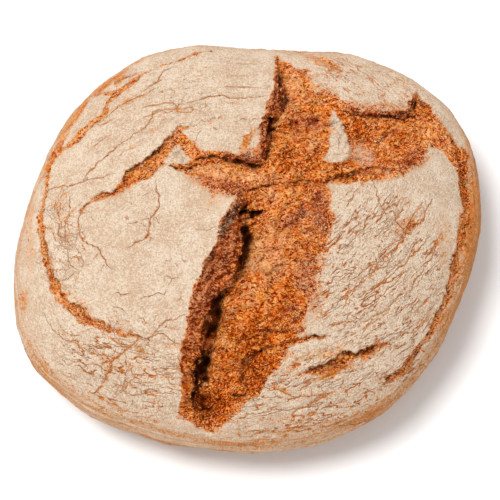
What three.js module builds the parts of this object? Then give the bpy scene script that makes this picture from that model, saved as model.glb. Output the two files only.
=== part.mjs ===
// A round rye bread loaf of about 1.3 kg, baked without a tin on the floor of the oven.
// Its top was floured and burst open in the oven: a long tear runs from the back to the front with
// an arm to each side, and cracks ring the rim, where the crust set first. The loaf is uncut and of
// one piece, so it is one closed solid, with the tear, its raised lips and the cracks as relief.
// Millimetres, +Z up, the front of the loaf at -Y. It stands on z = 0, centred on the Z axis.

import * as THREE from "three";
import { ImprovedNoise } from "three/addons/math/ImprovedNoise.js";
import { mergeVertices } from "three/addons/utils/BufferGeometryUtils.js";

const { degToRad, smoothstep, lerp } = THREE.MathUtils;

// ---------------------------------------------------------------- driving dimensions

const LOAF_HEIGHT = 90;
const MEAN_RADIUS = 116.4; // of the widest level section
const WIDEST_LEVEL = 33; // the height of that section
const BELLY_DEPTH = 45; // how far the lower half would reach below it without the oven floor
const CROWN_SQUARENESS = 2.25; // exponent of the upper half's superellipse: 2 is an ellipse
const BELLY_SQUARENESS = 2.3;
const FLOOR_EDGE_SHARPNESS = 16; // higher is a tighter bend from the side into the flat bottom
const FLOOR_EDGE_SINK = 0.5; // the bend starts this far below the floor, so the bottom is truly flat
const CENTRE = new THREE.Vector3(-0.3, 1.6, WIDEST_LEVEL);

// The widest section's outline is a circle with these waves, as the dough was shaped by hand.
const OUTLINE_WAVES = [
  { perTurn: 2, size: 6.9, peaksAt: 21.4 },
  { perTurn: 3, size: 1.4, peaksAt: 25.6 },
  { perTurn: 4, size: 4.2, peaksAt: 33.6 },
  { perTurn: 5, size: 0.6, peaksAt: -20.9 },
];

const UNEVENNESS = 1.6; // soft bumps all over the crust
const BUMP_LENGTH = 34;
const TEAR_DEPTH = 4.5; // how far the torn crumb lies below the floured crust
const TEAR_BANK = 16; // the crust falls to that depth over this distance
const CRAG_HEIGHT = 3; // rough torn crumb
const CRAG_LENGTH = 11;
const LIP_REACH = 7; // a raised lip sinks back into the crust over about this distance
const FULL_WIDTH = 3; // a crack this wide has the whole of its lip, and a narrower one less
const GROOVE_WALL = 2.4; // the walls of a crack lean out of plumb by this much
const FLOOR_FADE = 12; // relief fades out this close to the floor

const COARSE_EDGE = 10.4; // triangle edges on smooth crust
const TORN_EDGE = 6.5;
const CRACK_EDGE = 4.4; // along shallow cracks
const GAP_EDGE = 2.1; // along the deep gaps
const GAP_DEPTH = 6; // a crack this deep is a gap
const BOTTOM_EDGE = 15;
const FINE_BAND = 3; // edges are finest this near to a crack
const COARSE_BAND = 12; // and coarse again beyond this
const TURNING_PASSES = 8;
const LEAST_GAIN = degToRad(2); // a side is turned only where the bend drops by more than this
const THINNEST_FACE = 0.12; // height of a triangle over its longest side, at the least

// ---------------------------------------------------------------- the even shape of the loaf

function outlineRadius(turn) {
  let radius = MEAN_RADIUS;
  for (const wave of OUTLINE_WAVES) {
    radius += wave.size * Math.cos(wave.perTurn * (turn - degToRad(wave.peaksAt)));
  }
  return radius;
}

// How far the even crust lies from CENTRE in a given direction.
function crustDistance(direction) {
  const flat = Math.hypot(direction.x, direction.y);
  const girth = outlineRadius(Math.atan2(direction.y, direction.x));
  const isCrown = direction.z > 0;
  const reach = isCrown ? LOAF_HEIGHT - WIDEST_LEVEL : BELLY_DEPTH;
  const power = isCrown ? CROWN_SQUARENESS : BELLY_SQUARENESS;
  const dome = ((flat / girth) ** power + (Math.abs(direction.z) / reach) ** power) ** (-1 / power);
  if (isCrown) return dome;
  const toFloor = (WIDEST_LEVEL + FLOOR_EDGE_SINK) / Math.max(-direction.z, 1e-9);
  const sharp = -FLOOR_EDGE_SHARPNESS;
  return (dome ** sharp + toFloor ** sharp) ** (1 / sharp);
}

function crustPoint(direction) {
  const point = direction.clone().multiplyScalar(crustDistance(direction)).add(CENTRE);
  point.z = Math.max(point.z, 0);
  return point;
}

function crustNormal(direction) {
  const step = 0.01;
  const sideways = new THREE.Vector3(-direction.y, direction.x, 0.01).normalize();
  const upward = direction.clone().cross(sideways).normalize();
  const across = new THREE.Vector3().crossVectors(upward, direction).normalize();
  const here = crustPoint(direction);
  const aside = crustPoint(direction.clone().addScaledVector(across, step).normalize()).sub(here);
  const above = crustPoint(direction.clone().addScaledVector(upward, step).normalize()).sub(here);
  const normal = new THREE.Vector3().crossVectors(aside, above).normalize();
  return normal.dot(direction) < 0 ? normal.negate() : normal;
}

// ---------------------------------------------------------------- the drawing sheet

// The tear and the cracks are laid out on a sheet that faces someone who looks down on the loaf
// from the front. On it u runs to the right and v upwards, in millimetres at the loaf's middle.
const SHEET_ELEVATION = degToRad(70);
const EYE_DISTANCE = 1100;
const SHEET_MIDDLE = new THREE.Vector3(0.5, -5.7, 42);

const sheetForward = new THREE.Vector3(0, Math.cos(SHEET_ELEVATION), -Math.sin(SHEET_ELEVATION));
const sheetUp = new THREE.Vector3(0, Math.sin(SHEET_ELEVATION), Math.cos(SHEET_ELEVATION));
const eye = SHEET_MIDDLE.clone().addScaledVector(sheetForward, -EYE_DISTANCE);

function sheetPlace(point) {
  const seen = point.clone().sub(eye);
  const scale = EYE_DISTANCE / seen.dot(sheetForward);
  return new THREE.Vector2(seen.x * scale, seen.dot(sheetUp) * scale);
}

// The point of the even crust that lies under a place on the sheet.
function crustUnder(u, v) {
  const onSheet = SHEET_MIDDLE.clone().addScaledVector(sheetUp, v);
  onSheet.x += u;
  const ray = onSheet.sub(eye).normalize();
  let inside = CENTRE.clone().sub(eye).dot(ray);
  let outside = inside - LOAF_HEIGHT * 2;
  for (let halving = 0; halving < 24; halving++) {
    const middle = (inside + outside) / 2;
    const fromCentre = eye.clone().addScaledVector(ray, middle).sub(CENTRE);
    const isInside = fromCentre.length() < crustDistance(fromCentre.clone().normalize());
    if (isInside) inside = middle;
    else outside = middle;
  }
  return eye.clone().addScaledVector(ray, inside);
}

// ---------------------------------------------------------------- cracks

// Each crack runs through [u, v, width]. "steep" is its depth for each millimetre of width. One side
// is a raised lip: "lip" is its height and "lipSide" is 1 for the left of the route and -1 for the
// right. "bank" is how far beyond the other side the torn crumb takes to come up again.
const CRACKS = {
  longGapUnderLeftFlap: {
    route: [[-4, 32, 1], [-2, 18, 4.5], [-2, -2, 5], [-7, -14, 4.5], [-15, -29, 5], [-21, -43, 5.5],
      [-24, -58, 7], [-27, -71, 6], [-28, -82, 5], [-25, -90, 2]],
    steep: 2.1, lip: 4, lipSide: -1, bank: 26,
  },
  gapUnderBackFlap: {
    route: [[14, 100, 1], [17, 86, 3.5], [17, 74, 4.5], [12, 63, 5.5], [10, 53, 3], [8, 46, 1.5]],
    steep: 1.8, lip: 2.6, lipSide: -1, bank: 14,
  },
  gapUnderCap: {
    route: [[-8, 50, 1], [-2, 47, 3], [4, 47, 3], [9, 43, 1.5]],
    steep: 1.6, lip: 1.4, lipSide: 1, bank: 0,
  },
  leftArm: {
    route: [[-86, 19, 1], [-81, 26, 2], [-66, 34, 3], [-57, 42, 3.5], [-46, 51, 5], [-38, 61, 3.5],
      [-26, 67, 1.5], [-11, 70, 1]],
    steep: 1.5, lip: 1.2, lipSide: 1, bank: 0,
  },
  lipOfRightShoulder: {
    route: [[45, 73, 1], [62, 70, 2], [78, 70, 3.5], [85, 73, 4.5], [85, 81, 2]],
    steep: 1.4, lip: 2, lipSide: 1, bank: 18,
  },
  rightRing: {
    route: [[85, 82, 1.5], [96, 66, 3], [107, 53, 4.5], [111, 31, 7], [110, 13, 5], [106, -8, 5.5],
      [101, -25, 4], [92, -44, 3], [80, -60, 3.5], [69, -68, 2]],
    steep: 1.0, lip: 1, lipSide: -1, bank: 0,
  },
  leftRing: {
    route: [[-104, 30, 2.5], [-107, 14, 3], [-105, -4, 3.5], [-97, -22, 5], [-86, -34, 5.5],
      [-72, -39, 3], [-57, -44, 1.5]],
    steep: 1.1, lip: 1.2, lipSide: 1, bank: 0,
  },
  backRing: {
    route: [[-104, 30, 2.5], [-101, 44, 3], [-89, 58, 4], [-74, 71, 2.5], [-64, 84, 3], [-46, 95, 2],
      [-20, 102, 2.5], [10, 103, 1.5]],
    steep: 0.9, lip: 0.6, lipSide: -1, bank: 0,
  },
  slitOfRightPlate: {
    route: [[27, -64, 1], [36, -61, 2.5], [48, -55, 5], [60, -51, 4], [72, -48, 1]],
    steep: 1.1, lip: 0.8, lipSide: 1, bank: 0,
  },
  shortSlit: {
    route: [[19, -47, 1], [30, -44, 2.5], [40, -44, 1]],
    steep: 1.0, lip: 0.5, lipSide: 1, bank: 0,
  },
  upperSplitOfRightPlate: {
    route: [[65, 35, 1], [70, 22, 2.5], [76, 18, 2], [80, 11, 1]],
    steep: 0.9, lip: 0.4, lipSide: 1, bank: 0,
  },
  lowerSplitOfRightPlate: {
    route: [[93, 25, 1], [84, 11, 3], [72, -1, 2], [60, -14, 2], [46, -24, 1]],
    steep: 0.8, lip: 0.4, lipSide: 1, bank: 0,
  },
};

// Cracks low on the sides that the sheet can't show, through [degrees round the loaf, height, width].
const SIDE_CRACKS = {
  backSeam: {
    route: [[62, 46, 1.5], [78, 50, 3], [96, 47, 3.5], [112, 50, 2.5], [126, 46, 1.5]],
    steep: 0.9, lip: 0.8, lipSide: 1, bank: 0,
  },
  backBranch: {
    route: [[96, 46, 2], [101, 36, 2.5], [99, 26, 1]],
    steep: 0.8, lip: 0.4, lipSide: 1, bank: 0,
  },
  leftSeam: {
    route: [[168, 30, 1], [182, 33, 2.5], [198, 29, 2], [210, 31, 1]],
    steep: 0.8, lip: 0.5, lipSide: -1, bank: 0,
  },
};

function crustOnSide(turn, height) {
  const flat = new THREE.Vector2(Math.cos(degToRad(turn)), Math.sin(degToRad(turn)));
  const rise = (height - WIDEST_LEVEL) / MEAN_RADIUS;
  return crustPoint(new THREE.Vector3(flat.x, flat.y, rise).normalize());
}

// Lays a crack on the crust: points every couple of millimetres, each with the local width.
function laidOut(crack, toCrust) {
  const pointsPerKnot = 8;
  const knots = crack.route.map(([a, b, width]) => new THREE.Vector3(a, b, width));
  const curve = new THREE.CatmullRomCurve3(knots, false, "centripetal");
  const points = curve.getPoints(knots.length * pointsPerKnot).map((knot) => ({
    point: toCrust(knot.x, knot.y),
    width: Math.max(knot.z, 0),
  }));
  return { ...crack, points };
}

const cracks = [
  ...Object.values(CRACKS).map((crack) => laidOut(crack, crustUnder)),
  ...Object.values(SIDE_CRACKS).map((crack) => laidOut(crack, crustOnSide)),
];

// The nearest place of a crack to a point: the distance, the side it lies on and the width there.
function nearestOn(crack, point, normal) {
  let nearest = { distance: Infinity };
  for (let i = 1; i < crack.points.length; i++) {
    const start = crack.points[i - 1];
    const end = crack.points[i];
    const along = new THREE.Line3(start.point, end.point);
    const share = along.closestPointToPointParameter(point, true);
    const foot = along.at(share, new THREE.Vector3());
    const distance = foot.distanceTo(point);
    if (distance < nearest.distance) {
      const heading = along.delta(new THREE.Vector3());
      const isLeft = heading.cross(point.clone().sub(foot)).dot(normal) > 0;
      const width = lerp(start.width, end.width, share);
      nearest = { distance, side: isLeft ? 1 : -1, width };
    }
  }
  return nearest;
}

// ---------------------------------------------------------------- the torn crumb

// The edge of the torn crumb on the sheet, round the back, the right arm, the front and the left arm.
const TEAR_EDGE = [
  [15, 101], [32, 88], [46, 79], [70, 71], [84, 74], [97, 67], [111, 51], [108, 36], [98, 51],
  [88, 48], [66, 36], [42, 34], [42, 14], [33, -18], [24, -46], [6, -74], [-20, -93], [-32, -84],
  [-33, -56], [-27, -17], [-14, 12], [-4, 31], [-30, 40], [-50, 39], [-68, 32], [-46, 52],
  [-31, 60], [-12, 52], [4, 50], [9, 74], [14, 96],
].map(([u, v]) => new THREE.Vector2(u, v));

// The distance from a place on the sheet to the edge of the tear, positive inside it.
function depthIntoTear(place) {
  let distance = Infinity;
  let isInside = false;
  TEAR_EDGE.forEach((end, i) => {
    const start = TEAR_EDGE.at(i - 1);
    const heading = end.clone().sub(start);
    const offset = place.clone().sub(start);
    const share = THREE.MathUtils.clamp(offset.dot(heading) / heading.lengthSq(), 0, 1);
    distance = Math.min(distance, offset.addScaledVector(heading, -share).length());
    const crosses = start.y > place.y !== end.y > place.y;
    const crossing = start.x + ((place.y - start.y) / heading.y) * heading.x;
    if (crosses && place.x < crossing) isInside = !isInside;
  });
  return isInside ? distance : -distance;
}

// ---------------------------------------------------------------- relief

const noise = new ImprovedNoise();

function bumps(point, length) {
  const p = point.clone().divideScalar(length);
  return noise.noise(p.x, p.y, p.z);
}

// What one crack does at a point: its groove, the lip on one side and the bank on the other.
function crackRelief(crack, point, normal) {
  const { distance, side, width } = nearestOn(crack, point, normal);
  const depth = width * crack.steep;
  const groove = depth * (1 - smoothstep(distance, width / 5, width / 2 + GROOVE_WALL));
  const full = Math.min(width / FULL_WIDTH, 1);
  const isLip = side === crack.lipSide;
  const lip = isLip ? crack.lip * full * Math.exp(-distance / LIP_REACH) : 0;
  const bank = isLip || !crack.bank ? 0 : TEAR_DEPTH * full * (1 - smoothstep(distance, 0, crack.bank));
  const edge = depth > GAP_DEPTH ? GAP_EDGE : CRACK_EDGE;
  return { groove, lip, bank, edge: lerp(edge, COARSE_EDGE, smoothstep(distance, FINE_BAND, COARSE_BAND)) };
}

// All relief at a point of the even crust, and the triangle edge that it needs there.
function relief(point, normal) {
  const toEye = eye.clone().sub(point).normalize();
  const facing = normal.dot(toEye);
  const intoTear = facing > 0 ? depthIntoTear(sheetPlace(point)) : -Infinity;
  const torn = smoothstep(intoTear, -3, TEAR_BANK) * smoothstep(facing, 0.1, 0.4);
  const made = cracks.map((crack) => crackRelief(crack, point, normal));
  const groove = Math.max(...made.map((one) => one.groove));
  const lip = Math.max(...made.map((one) => one.lip));
  const bank = Math.max(...made.map((one) => one.bank));
  const crumb = facing > 0 && intoTear > -2 ? TORN_EDGE : COARSE_EDGE;
  const edge = Math.min(crumb, ...made.map((one) => one.edge));
  const raised = UNEVENNESS * bumps(point, BUMP_LENGTH) + lip * (1 - torn);
  const crags = CRAG_HEIGHT * bumps(point, CRAG_LENGTH) * torn;
  const height = raised + crags - Math.max(TEAR_DEPTH * torn, bank) - groove;
  return { height, edge, facing, toEye };
}

// ---------------------------------------------------------------- the mesh

// Splits every edge that is longer than wanted where it lies, in all triangles at once, until none
// is left. A vertex is a direction from CENTRE, so each new one lies on the crust as well.
function refine(directions, triangles, wantedLength) {
  const points = directions.map(crustPoint);
  for (;;) {
    const middles = new Map();
    const middleOf = (a, b) => {
      const key = a < b ? `${a},${b}` : `${b},${a}`;
      if (!middles.has(key)) {
        const direction = directions[a].clone().add(directions[b]).normalize();
        const point = crustPoint(direction);
        const isLong = points[a].distanceTo(points[b]) > wantedLength(point, direction);
        middles.set(key, isLong ? directions.push(direction) - 1 : null);
        if (isLong) points.push(point);
      }
      return middles.get(key);
    };
    const before = directions.length;
    triangles = triangles.flatMap(([a, b, c]) => {
      const corners = [a, b, c];
      const halves = [middleOf(a, b), middleOf(b, c), middleOf(c, a)];
      return splitTriangle(corners, halves, points);
    });
    if (directions.length === before) return triangles;
  }
}

// The triangles that replace one whose sides ab, bc and ca are cut at "halves", null where whole.
function splitTriangle(corners, halves, points) {
  const cuts = halves.filter((half) => half !== null).length;
  if (cuts === 0) return [corners];
  if (cuts === 3) {
    const [ab, bc, ca] = halves;
    return [[corners[0], ab, ca], [ab, corners[1], bc], [ca, bc, corners[2]], [ab, bc, ca]];
  }
  // Turned so that side ab is cut and, where two are, so is side bc.
  let turn = halves.findIndex((half) => half !== null);
  if (cuts === 2 && halves[(turn + 1) % 3] === null) turn = (turn + 2) % 3;
  const [a, b, c] = [0, 1, 2].map((k) => corners[(k + turn) % 3]);
  const [ab, bc] = [0, 1].map((k) => halves[(k + turn) % 3]);
  if (cuts === 1) return [[a, ab, c], [ab, b, c]];
  const isShorterFromA = points[a].distanceTo(points[bc]) < points[ab].distanceTo(points[c]);
  const quad = isShorterFromA ? [[a, ab, bc], [a, bc, c]] : [[a, ab, c], [ab, bc, c]];
  return [[ab, b, bc], ...quad];
}

// Turns the side shared by two triangles wherever they then bend less against each other, so that
// the edges run along cracks and lips, not across them.
function turnEdges(vertices, directions, triangles) {
  const faceOf = (corners) => new THREE.Triangle(...corners.map((i) => vertices[i]));
  const normalOf = (corners) => faceOf(corners).getNormal(new THREE.Vector3());
  const bend = (one, other) => normalOf(one).angleTo(normalOf(other));
  const isSound = ([i, j, k]) => {
    const sides = [[i, j], [j, k], [k, i]].map(([m, n]) => vertices[m].distanceTo(vertices[n]));
    const isOutward = directions[i].dot(directions[j].clone().cross(directions[k])) > 0;
    const thickness = (2 * faceOf([i, j, k]).getArea()) / Math.max(...sides) ** 2;
    return isOutward && thickness > THINNEST_FACE;
  };
  for (let pass = 0; pass < TURNING_PASSES; pass++) {
    const owners = new Map();
    triangles.forEach(([a, b, c], t) => {
      owners.set(`${a},${b}`, [t, c]);
      owners.set(`${b},${c}`, [t, a]);
      owners.set(`${c},${a}`, [t, b]);
    });
    const isTurned = new Set();
    for (const [side, [t, c]] of owners) {
      const [a, b] = side.split(",").map(Number);
      const [u, d] = owners.get(`${b},${a}`);
      const isJoined = owners.has(`${c},${d}`) || owners.has(`${d},${c}`);
      if (a > b || isTurned.has(t) || isTurned.has(u) || isJoined) continue;
      const [one, other] = [[c, d, b], [d, c, a]];
      const isFlatter = bend(one, other) < bend([a, b, c], [b, a, d]) - LEAST_GAIN;
      if (!isFlatter || !isSound(one) || !isSound(other)) continue;
      [triangles[t], triangles[u]] = [one, other];
      isTurned.add(t).add(u);
    }
  }
}

function wantedEdge(point, direction) {
  return point.z < 1 ? BOTTOM_EDGE : relief(point, crustNormal(direction)).edge;
}

function loafGeometry() {
  const ball = new THREE.IcosahedronGeometry(1, 7);
  ball.deleteAttribute("normal");
  ball.deleteAttribute("uv");
  const start = mergeVertices(ball);
  const corners = start.getAttribute("position");
  const directions = Array.from({ length: corners.count }, (_, i) =>
    new THREE.Vector3().fromBufferAttribute(corners, i).normalize(),
  );
  const sides = Array.from({ length: start.index.count / 3 }, (_, i) =>
    [0, 1, 2].map((k) => start.index.getX(3 * i + k)),
  );
  const triangles = refine(directions, sides, wantedEdge);

  // Relief runs along the line of sight, so that it stays where the sheet has it, and turns into
  // the crust's own normal towards the sides.
  const vertices = directions.map((direction) => {
    const point = crustPoint(direction);
    if (point.z === 0) return point;
    const normal = crustNormal(direction);
    const { height, facing, toEye } = relief(point, normal);
    const way = normal.clone().lerp(toEye, smoothstep(facing, 0.3, 0.7)).normalize();
    point.addScaledVector(way, height * smoothstep(point.z, 0, FLOOR_FADE));
    point.z = Math.max(point.z, 0);
    return point;
  });

  turnEdges(vertices, directions, triangles);
  const geometry = new THREE.BufferGeometry().setFromPoints(vertices);
  geometry.setIndex(triangles.flat());
  geometry.computeVertexNormals();
  return geometry;
}

// ---------------------------------------------------------------- the part

const group = new THREE.Group();

const crust = new THREE.MeshStandardMaterial({ color: "#d2ab88", roughness: 0.9, metalness: 0 });
const loaf = new THREE.Mesh(loafGeometry(), crust);
loaf.name = "loaf";
group.add(loaf);

export default group;
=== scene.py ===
import math
from dataclasses import dataclass

import bmesh
import bpy
import numpy as np
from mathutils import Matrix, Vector, noise


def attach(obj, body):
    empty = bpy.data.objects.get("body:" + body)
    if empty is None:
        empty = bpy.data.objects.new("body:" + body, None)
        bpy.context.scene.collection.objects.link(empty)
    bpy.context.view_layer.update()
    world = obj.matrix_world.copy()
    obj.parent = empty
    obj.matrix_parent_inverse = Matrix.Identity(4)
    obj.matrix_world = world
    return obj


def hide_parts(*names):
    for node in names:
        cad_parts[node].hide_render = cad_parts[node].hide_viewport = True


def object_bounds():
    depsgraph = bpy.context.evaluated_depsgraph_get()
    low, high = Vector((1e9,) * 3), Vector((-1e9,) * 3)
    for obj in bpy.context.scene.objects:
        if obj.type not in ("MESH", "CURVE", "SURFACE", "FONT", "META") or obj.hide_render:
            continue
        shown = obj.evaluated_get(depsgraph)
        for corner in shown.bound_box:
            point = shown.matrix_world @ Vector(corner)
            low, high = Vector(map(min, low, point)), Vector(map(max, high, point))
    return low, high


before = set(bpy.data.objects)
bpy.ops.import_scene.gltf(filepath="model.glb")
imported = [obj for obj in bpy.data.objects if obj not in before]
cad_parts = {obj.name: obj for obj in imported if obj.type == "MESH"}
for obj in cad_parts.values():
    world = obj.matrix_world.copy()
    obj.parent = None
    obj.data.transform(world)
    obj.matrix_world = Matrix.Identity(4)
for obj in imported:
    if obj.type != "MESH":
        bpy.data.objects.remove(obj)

cad_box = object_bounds()

# ---------------------------------------------------------------------------------------------
# The camera: it looks down on the loaf from the front, as someone who stands at the table does,
# and from far enough away that the loaf keeps its round outline.

MM = 0.001
SIGHT_ELEVATION = math.radians(70)
EYE_DISTANCE = 1100 * MM
SIGHT_TARGET = Vector((0.5, -5.7, 42)) * MM
SEEN_WIDTH = 255 * MM  # what the camera takes in at the target, from left to right

forward = Vector((0, math.cos(SIGHT_ELEVATION), -math.sin(SIGHT_ELEVATION)))
camera_data = bpy.data.cameras.new("camera")
camera = bpy.data.objects.new("camera", camera_data)
bpy.context.scene.collection.objects.link(camera)
camera.location = SIGHT_TARGET - forward * EYE_DISTANCE
camera.rotation_euler = (math.pi / 2 - SIGHT_ELEVATION, 0, 0)
camera_data.lens = camera_data.sensor_width * EYE_DISTANCE / SEEN_WIDTH
bpy.context.scene.camera = camera

# ---------------------------------------------------------------------------------------------
# The loaf: one lump of rye dough, shaped round by hand and baked free on the oven floor, so it is
# domed above and flat below. A point of its even crust is a direction from the loaf's middle.
# Sizes in this section are in millimetres, and become metres when the mesh is finished.

LOAF_HEIGHT = 90
MEAN_RADIUS = 116.4
WIDEST_LEVEL = 33
BELLY_DEPTH = 45
CROWN_SQUARENESS = 2.25
BELLY_SQUARENESS = 2.3
FLOOR_EDGE_SHARPNESS = 16
FLOOR_EDGE_SINK = 0.5
LOAF_MIDDLE = np.array((-0.3, 1.6, WIDEST_LEVEL))
# How the outline departs from a circle: waves per turn, their size, and the degrees of their peak.
OUTLINE_WAVES = ((2, 6.9, 21.4), (3, 1.4, 25.6), (4, 4.2, 33.6), (5, 0.6, -20.9))
ASKEW = (0.59, 0.8, 0.11)  # a direction that no vertex lies in
NORMAL_STEP = 0.01  # the share of the radius between the points that give a normal
RAY_STEP = 2
RAY_HALVINGS = 12


def unit(vectors):
    return vectors / np.linalg.norm(vectors, axis=-1, keepdims=True)


def even_crust(directions):
    """Points of the smooth crust, before the dough tore and cracked."""
    turn = np.arctan2(directions[:, 1], directions[:, 0])
    girth = np.full(len(turn), MEAN_RADIUS)
    for per_turn, size, peaks_at in OUTLINE_WAVES:
        girth += size * np.cos(per_turn * (turn - math.radians(peaks_at)))
    rise = directions[:, 2]
    is_crown = rise > 0
    reach = np.where(is_crown, LOAF_HEIGHT - WIDEST_LEVEL, BELLY_DEPTH)
    power = np.where(is_crown, CROWN_SQUARENESS, BELLY_SQUARENESS)
    flat = np.hypot(directions[:, 0], directions[:, 1])
    dome = ((flat / girth) ** power + (np.abs(rise) / reach) ** power) ** (-1 / power)
    to_floor = (WIDEST_LEVEL + FLOOR_EDGE_SINK) / np.maximum(-rise, 1e-9)
    sharp = -FLOOR_EDGE_SHARPNESS
    bottom = (dome**sharp + to_floor**sharp) ** (1 / sharp)
    points = directions * np.where(is_crown, dome, bottom)[:, None] + LOAF_MIDDLE
    points[:, 2] = np.maximum(points[:, 2], 0)
    return points


def crust_normals(directions):
    across = unit(np.cross(directions, ASKEW))
    upward = np.cross(directions, across)
    here = even_crust(directions)
    aside = even_crust(unit(directions + NORMAL_STEP * across)) - here
    above = even_crust(unit(directions + NORMAL_STEP * upward)) - here
    normals = unit(np.cross(aside, above))
    return normals * np.sign((normals * directions).sum(1))[:, None]


# The tear and the cracks are laid out on a sheet that faces the eye: u runs to the right and v
# upwards, in millimetres at the target.
eye = np.array(camera.location) / MM
sight = np.array(forward)
sheet_up = np.array((0, math.sin(SIGHT_ELEVATION), math.cos(SIGHT_ELEVATION)))
sheet_distance = EYE_DISTANCE / MM


def on_sheet(points):
    seen = points - eye
    scale = sheet_distance / (seen @ sight)
    return np.stack((seen[:, 0] * scale, (seen @ sheet_up) * scale), 1)


def crust_under(places):
    """The points of the even crust that the eye sees first under places on the sheet."""
    target = np.array(SIGHT_TARGET) / MM
    corners = target + np.outer(places[:, 0], (1, 0, 0)) + np.outer(places[:, 1], sheet_up)
    rays = unit(corners - eye)

    def outwardness(along):
        """How far out of the loaf the rays are at that distance; on the crust it is 1."""
        reach = eye + rays * along[:, None] - LOAF_MIDDLE
        crust = even_crust(unit(reach)) - LOAF_MIDDLE
        return np.linalg.norm(reach, axis=1) / np.linalg.norm(crust, axis=1)

    reaches = np.arange(-2 * LOAF_HEIGHT, LOAF_HEIGHT, RAY_STEP)
    steps = rays @ (LOAF_MIDDLE - eye) + reaches[:, None]
    outward = np.array([outwardness(along) for along in steps])
    enters = np.where((outward < 1).any(0), (outward < 1).argmax(0), outward.argmin(0))
    inside = np.take_along_axis(steps, enters[None], 0)[0]
    outside = inside - RAY_STEP
    for _ in range(RAY_HALVINGS):
        middle = (inside + outside) / 2
        is_inside = outwardness(middle) < 1
        inside = np.where(is_inside, middle, inside)
        outside = np.where(is_inside, outside, middle)
    return eye + rays * inside[:, None]


def crust_on_side(places):
    """The points of the even crust at (degrees round the loaf, height)."""
    turn = np.radians(places[:, 0])
    rise = (places[:, 1] - WIDEST_LEVEL) / MEAN_RADIUS
    return even_crust(unit(np.stack((np.cos(turn), np.sin(turn), rise), 1)))


# ---------------------------------------------------------------------------------------------
# The cracks: as the loaf rose in the oven its dry crust split, and flaps of it lifted over gaps.
# The skin bent up into a lip on one side of a gap, and across from it the crumb slopes down into it.

LEFT, RIGHT = 1, -1  # the sides of a crack, as seen along its route


@dataclass
class Crack:
    """A gap that runs through knots of (u, v, width), or (degrees, height, width) on the side."""

    route: tuple
    depth: float
    opening: float  # the share of the width that lies at the full depth
    lip: float = 0  # how far the flap stands up
    side: int = LEFT  # where the flap lies
    edge: tuple = ()  # the breadth of the flap's bare brown edge, at each knot
    slope: float = 0  # the breadth of the slope down to the gap, across from the flap
    bank: float = 0  # how far from the gap the crust has sunk, across from the flap


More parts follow.
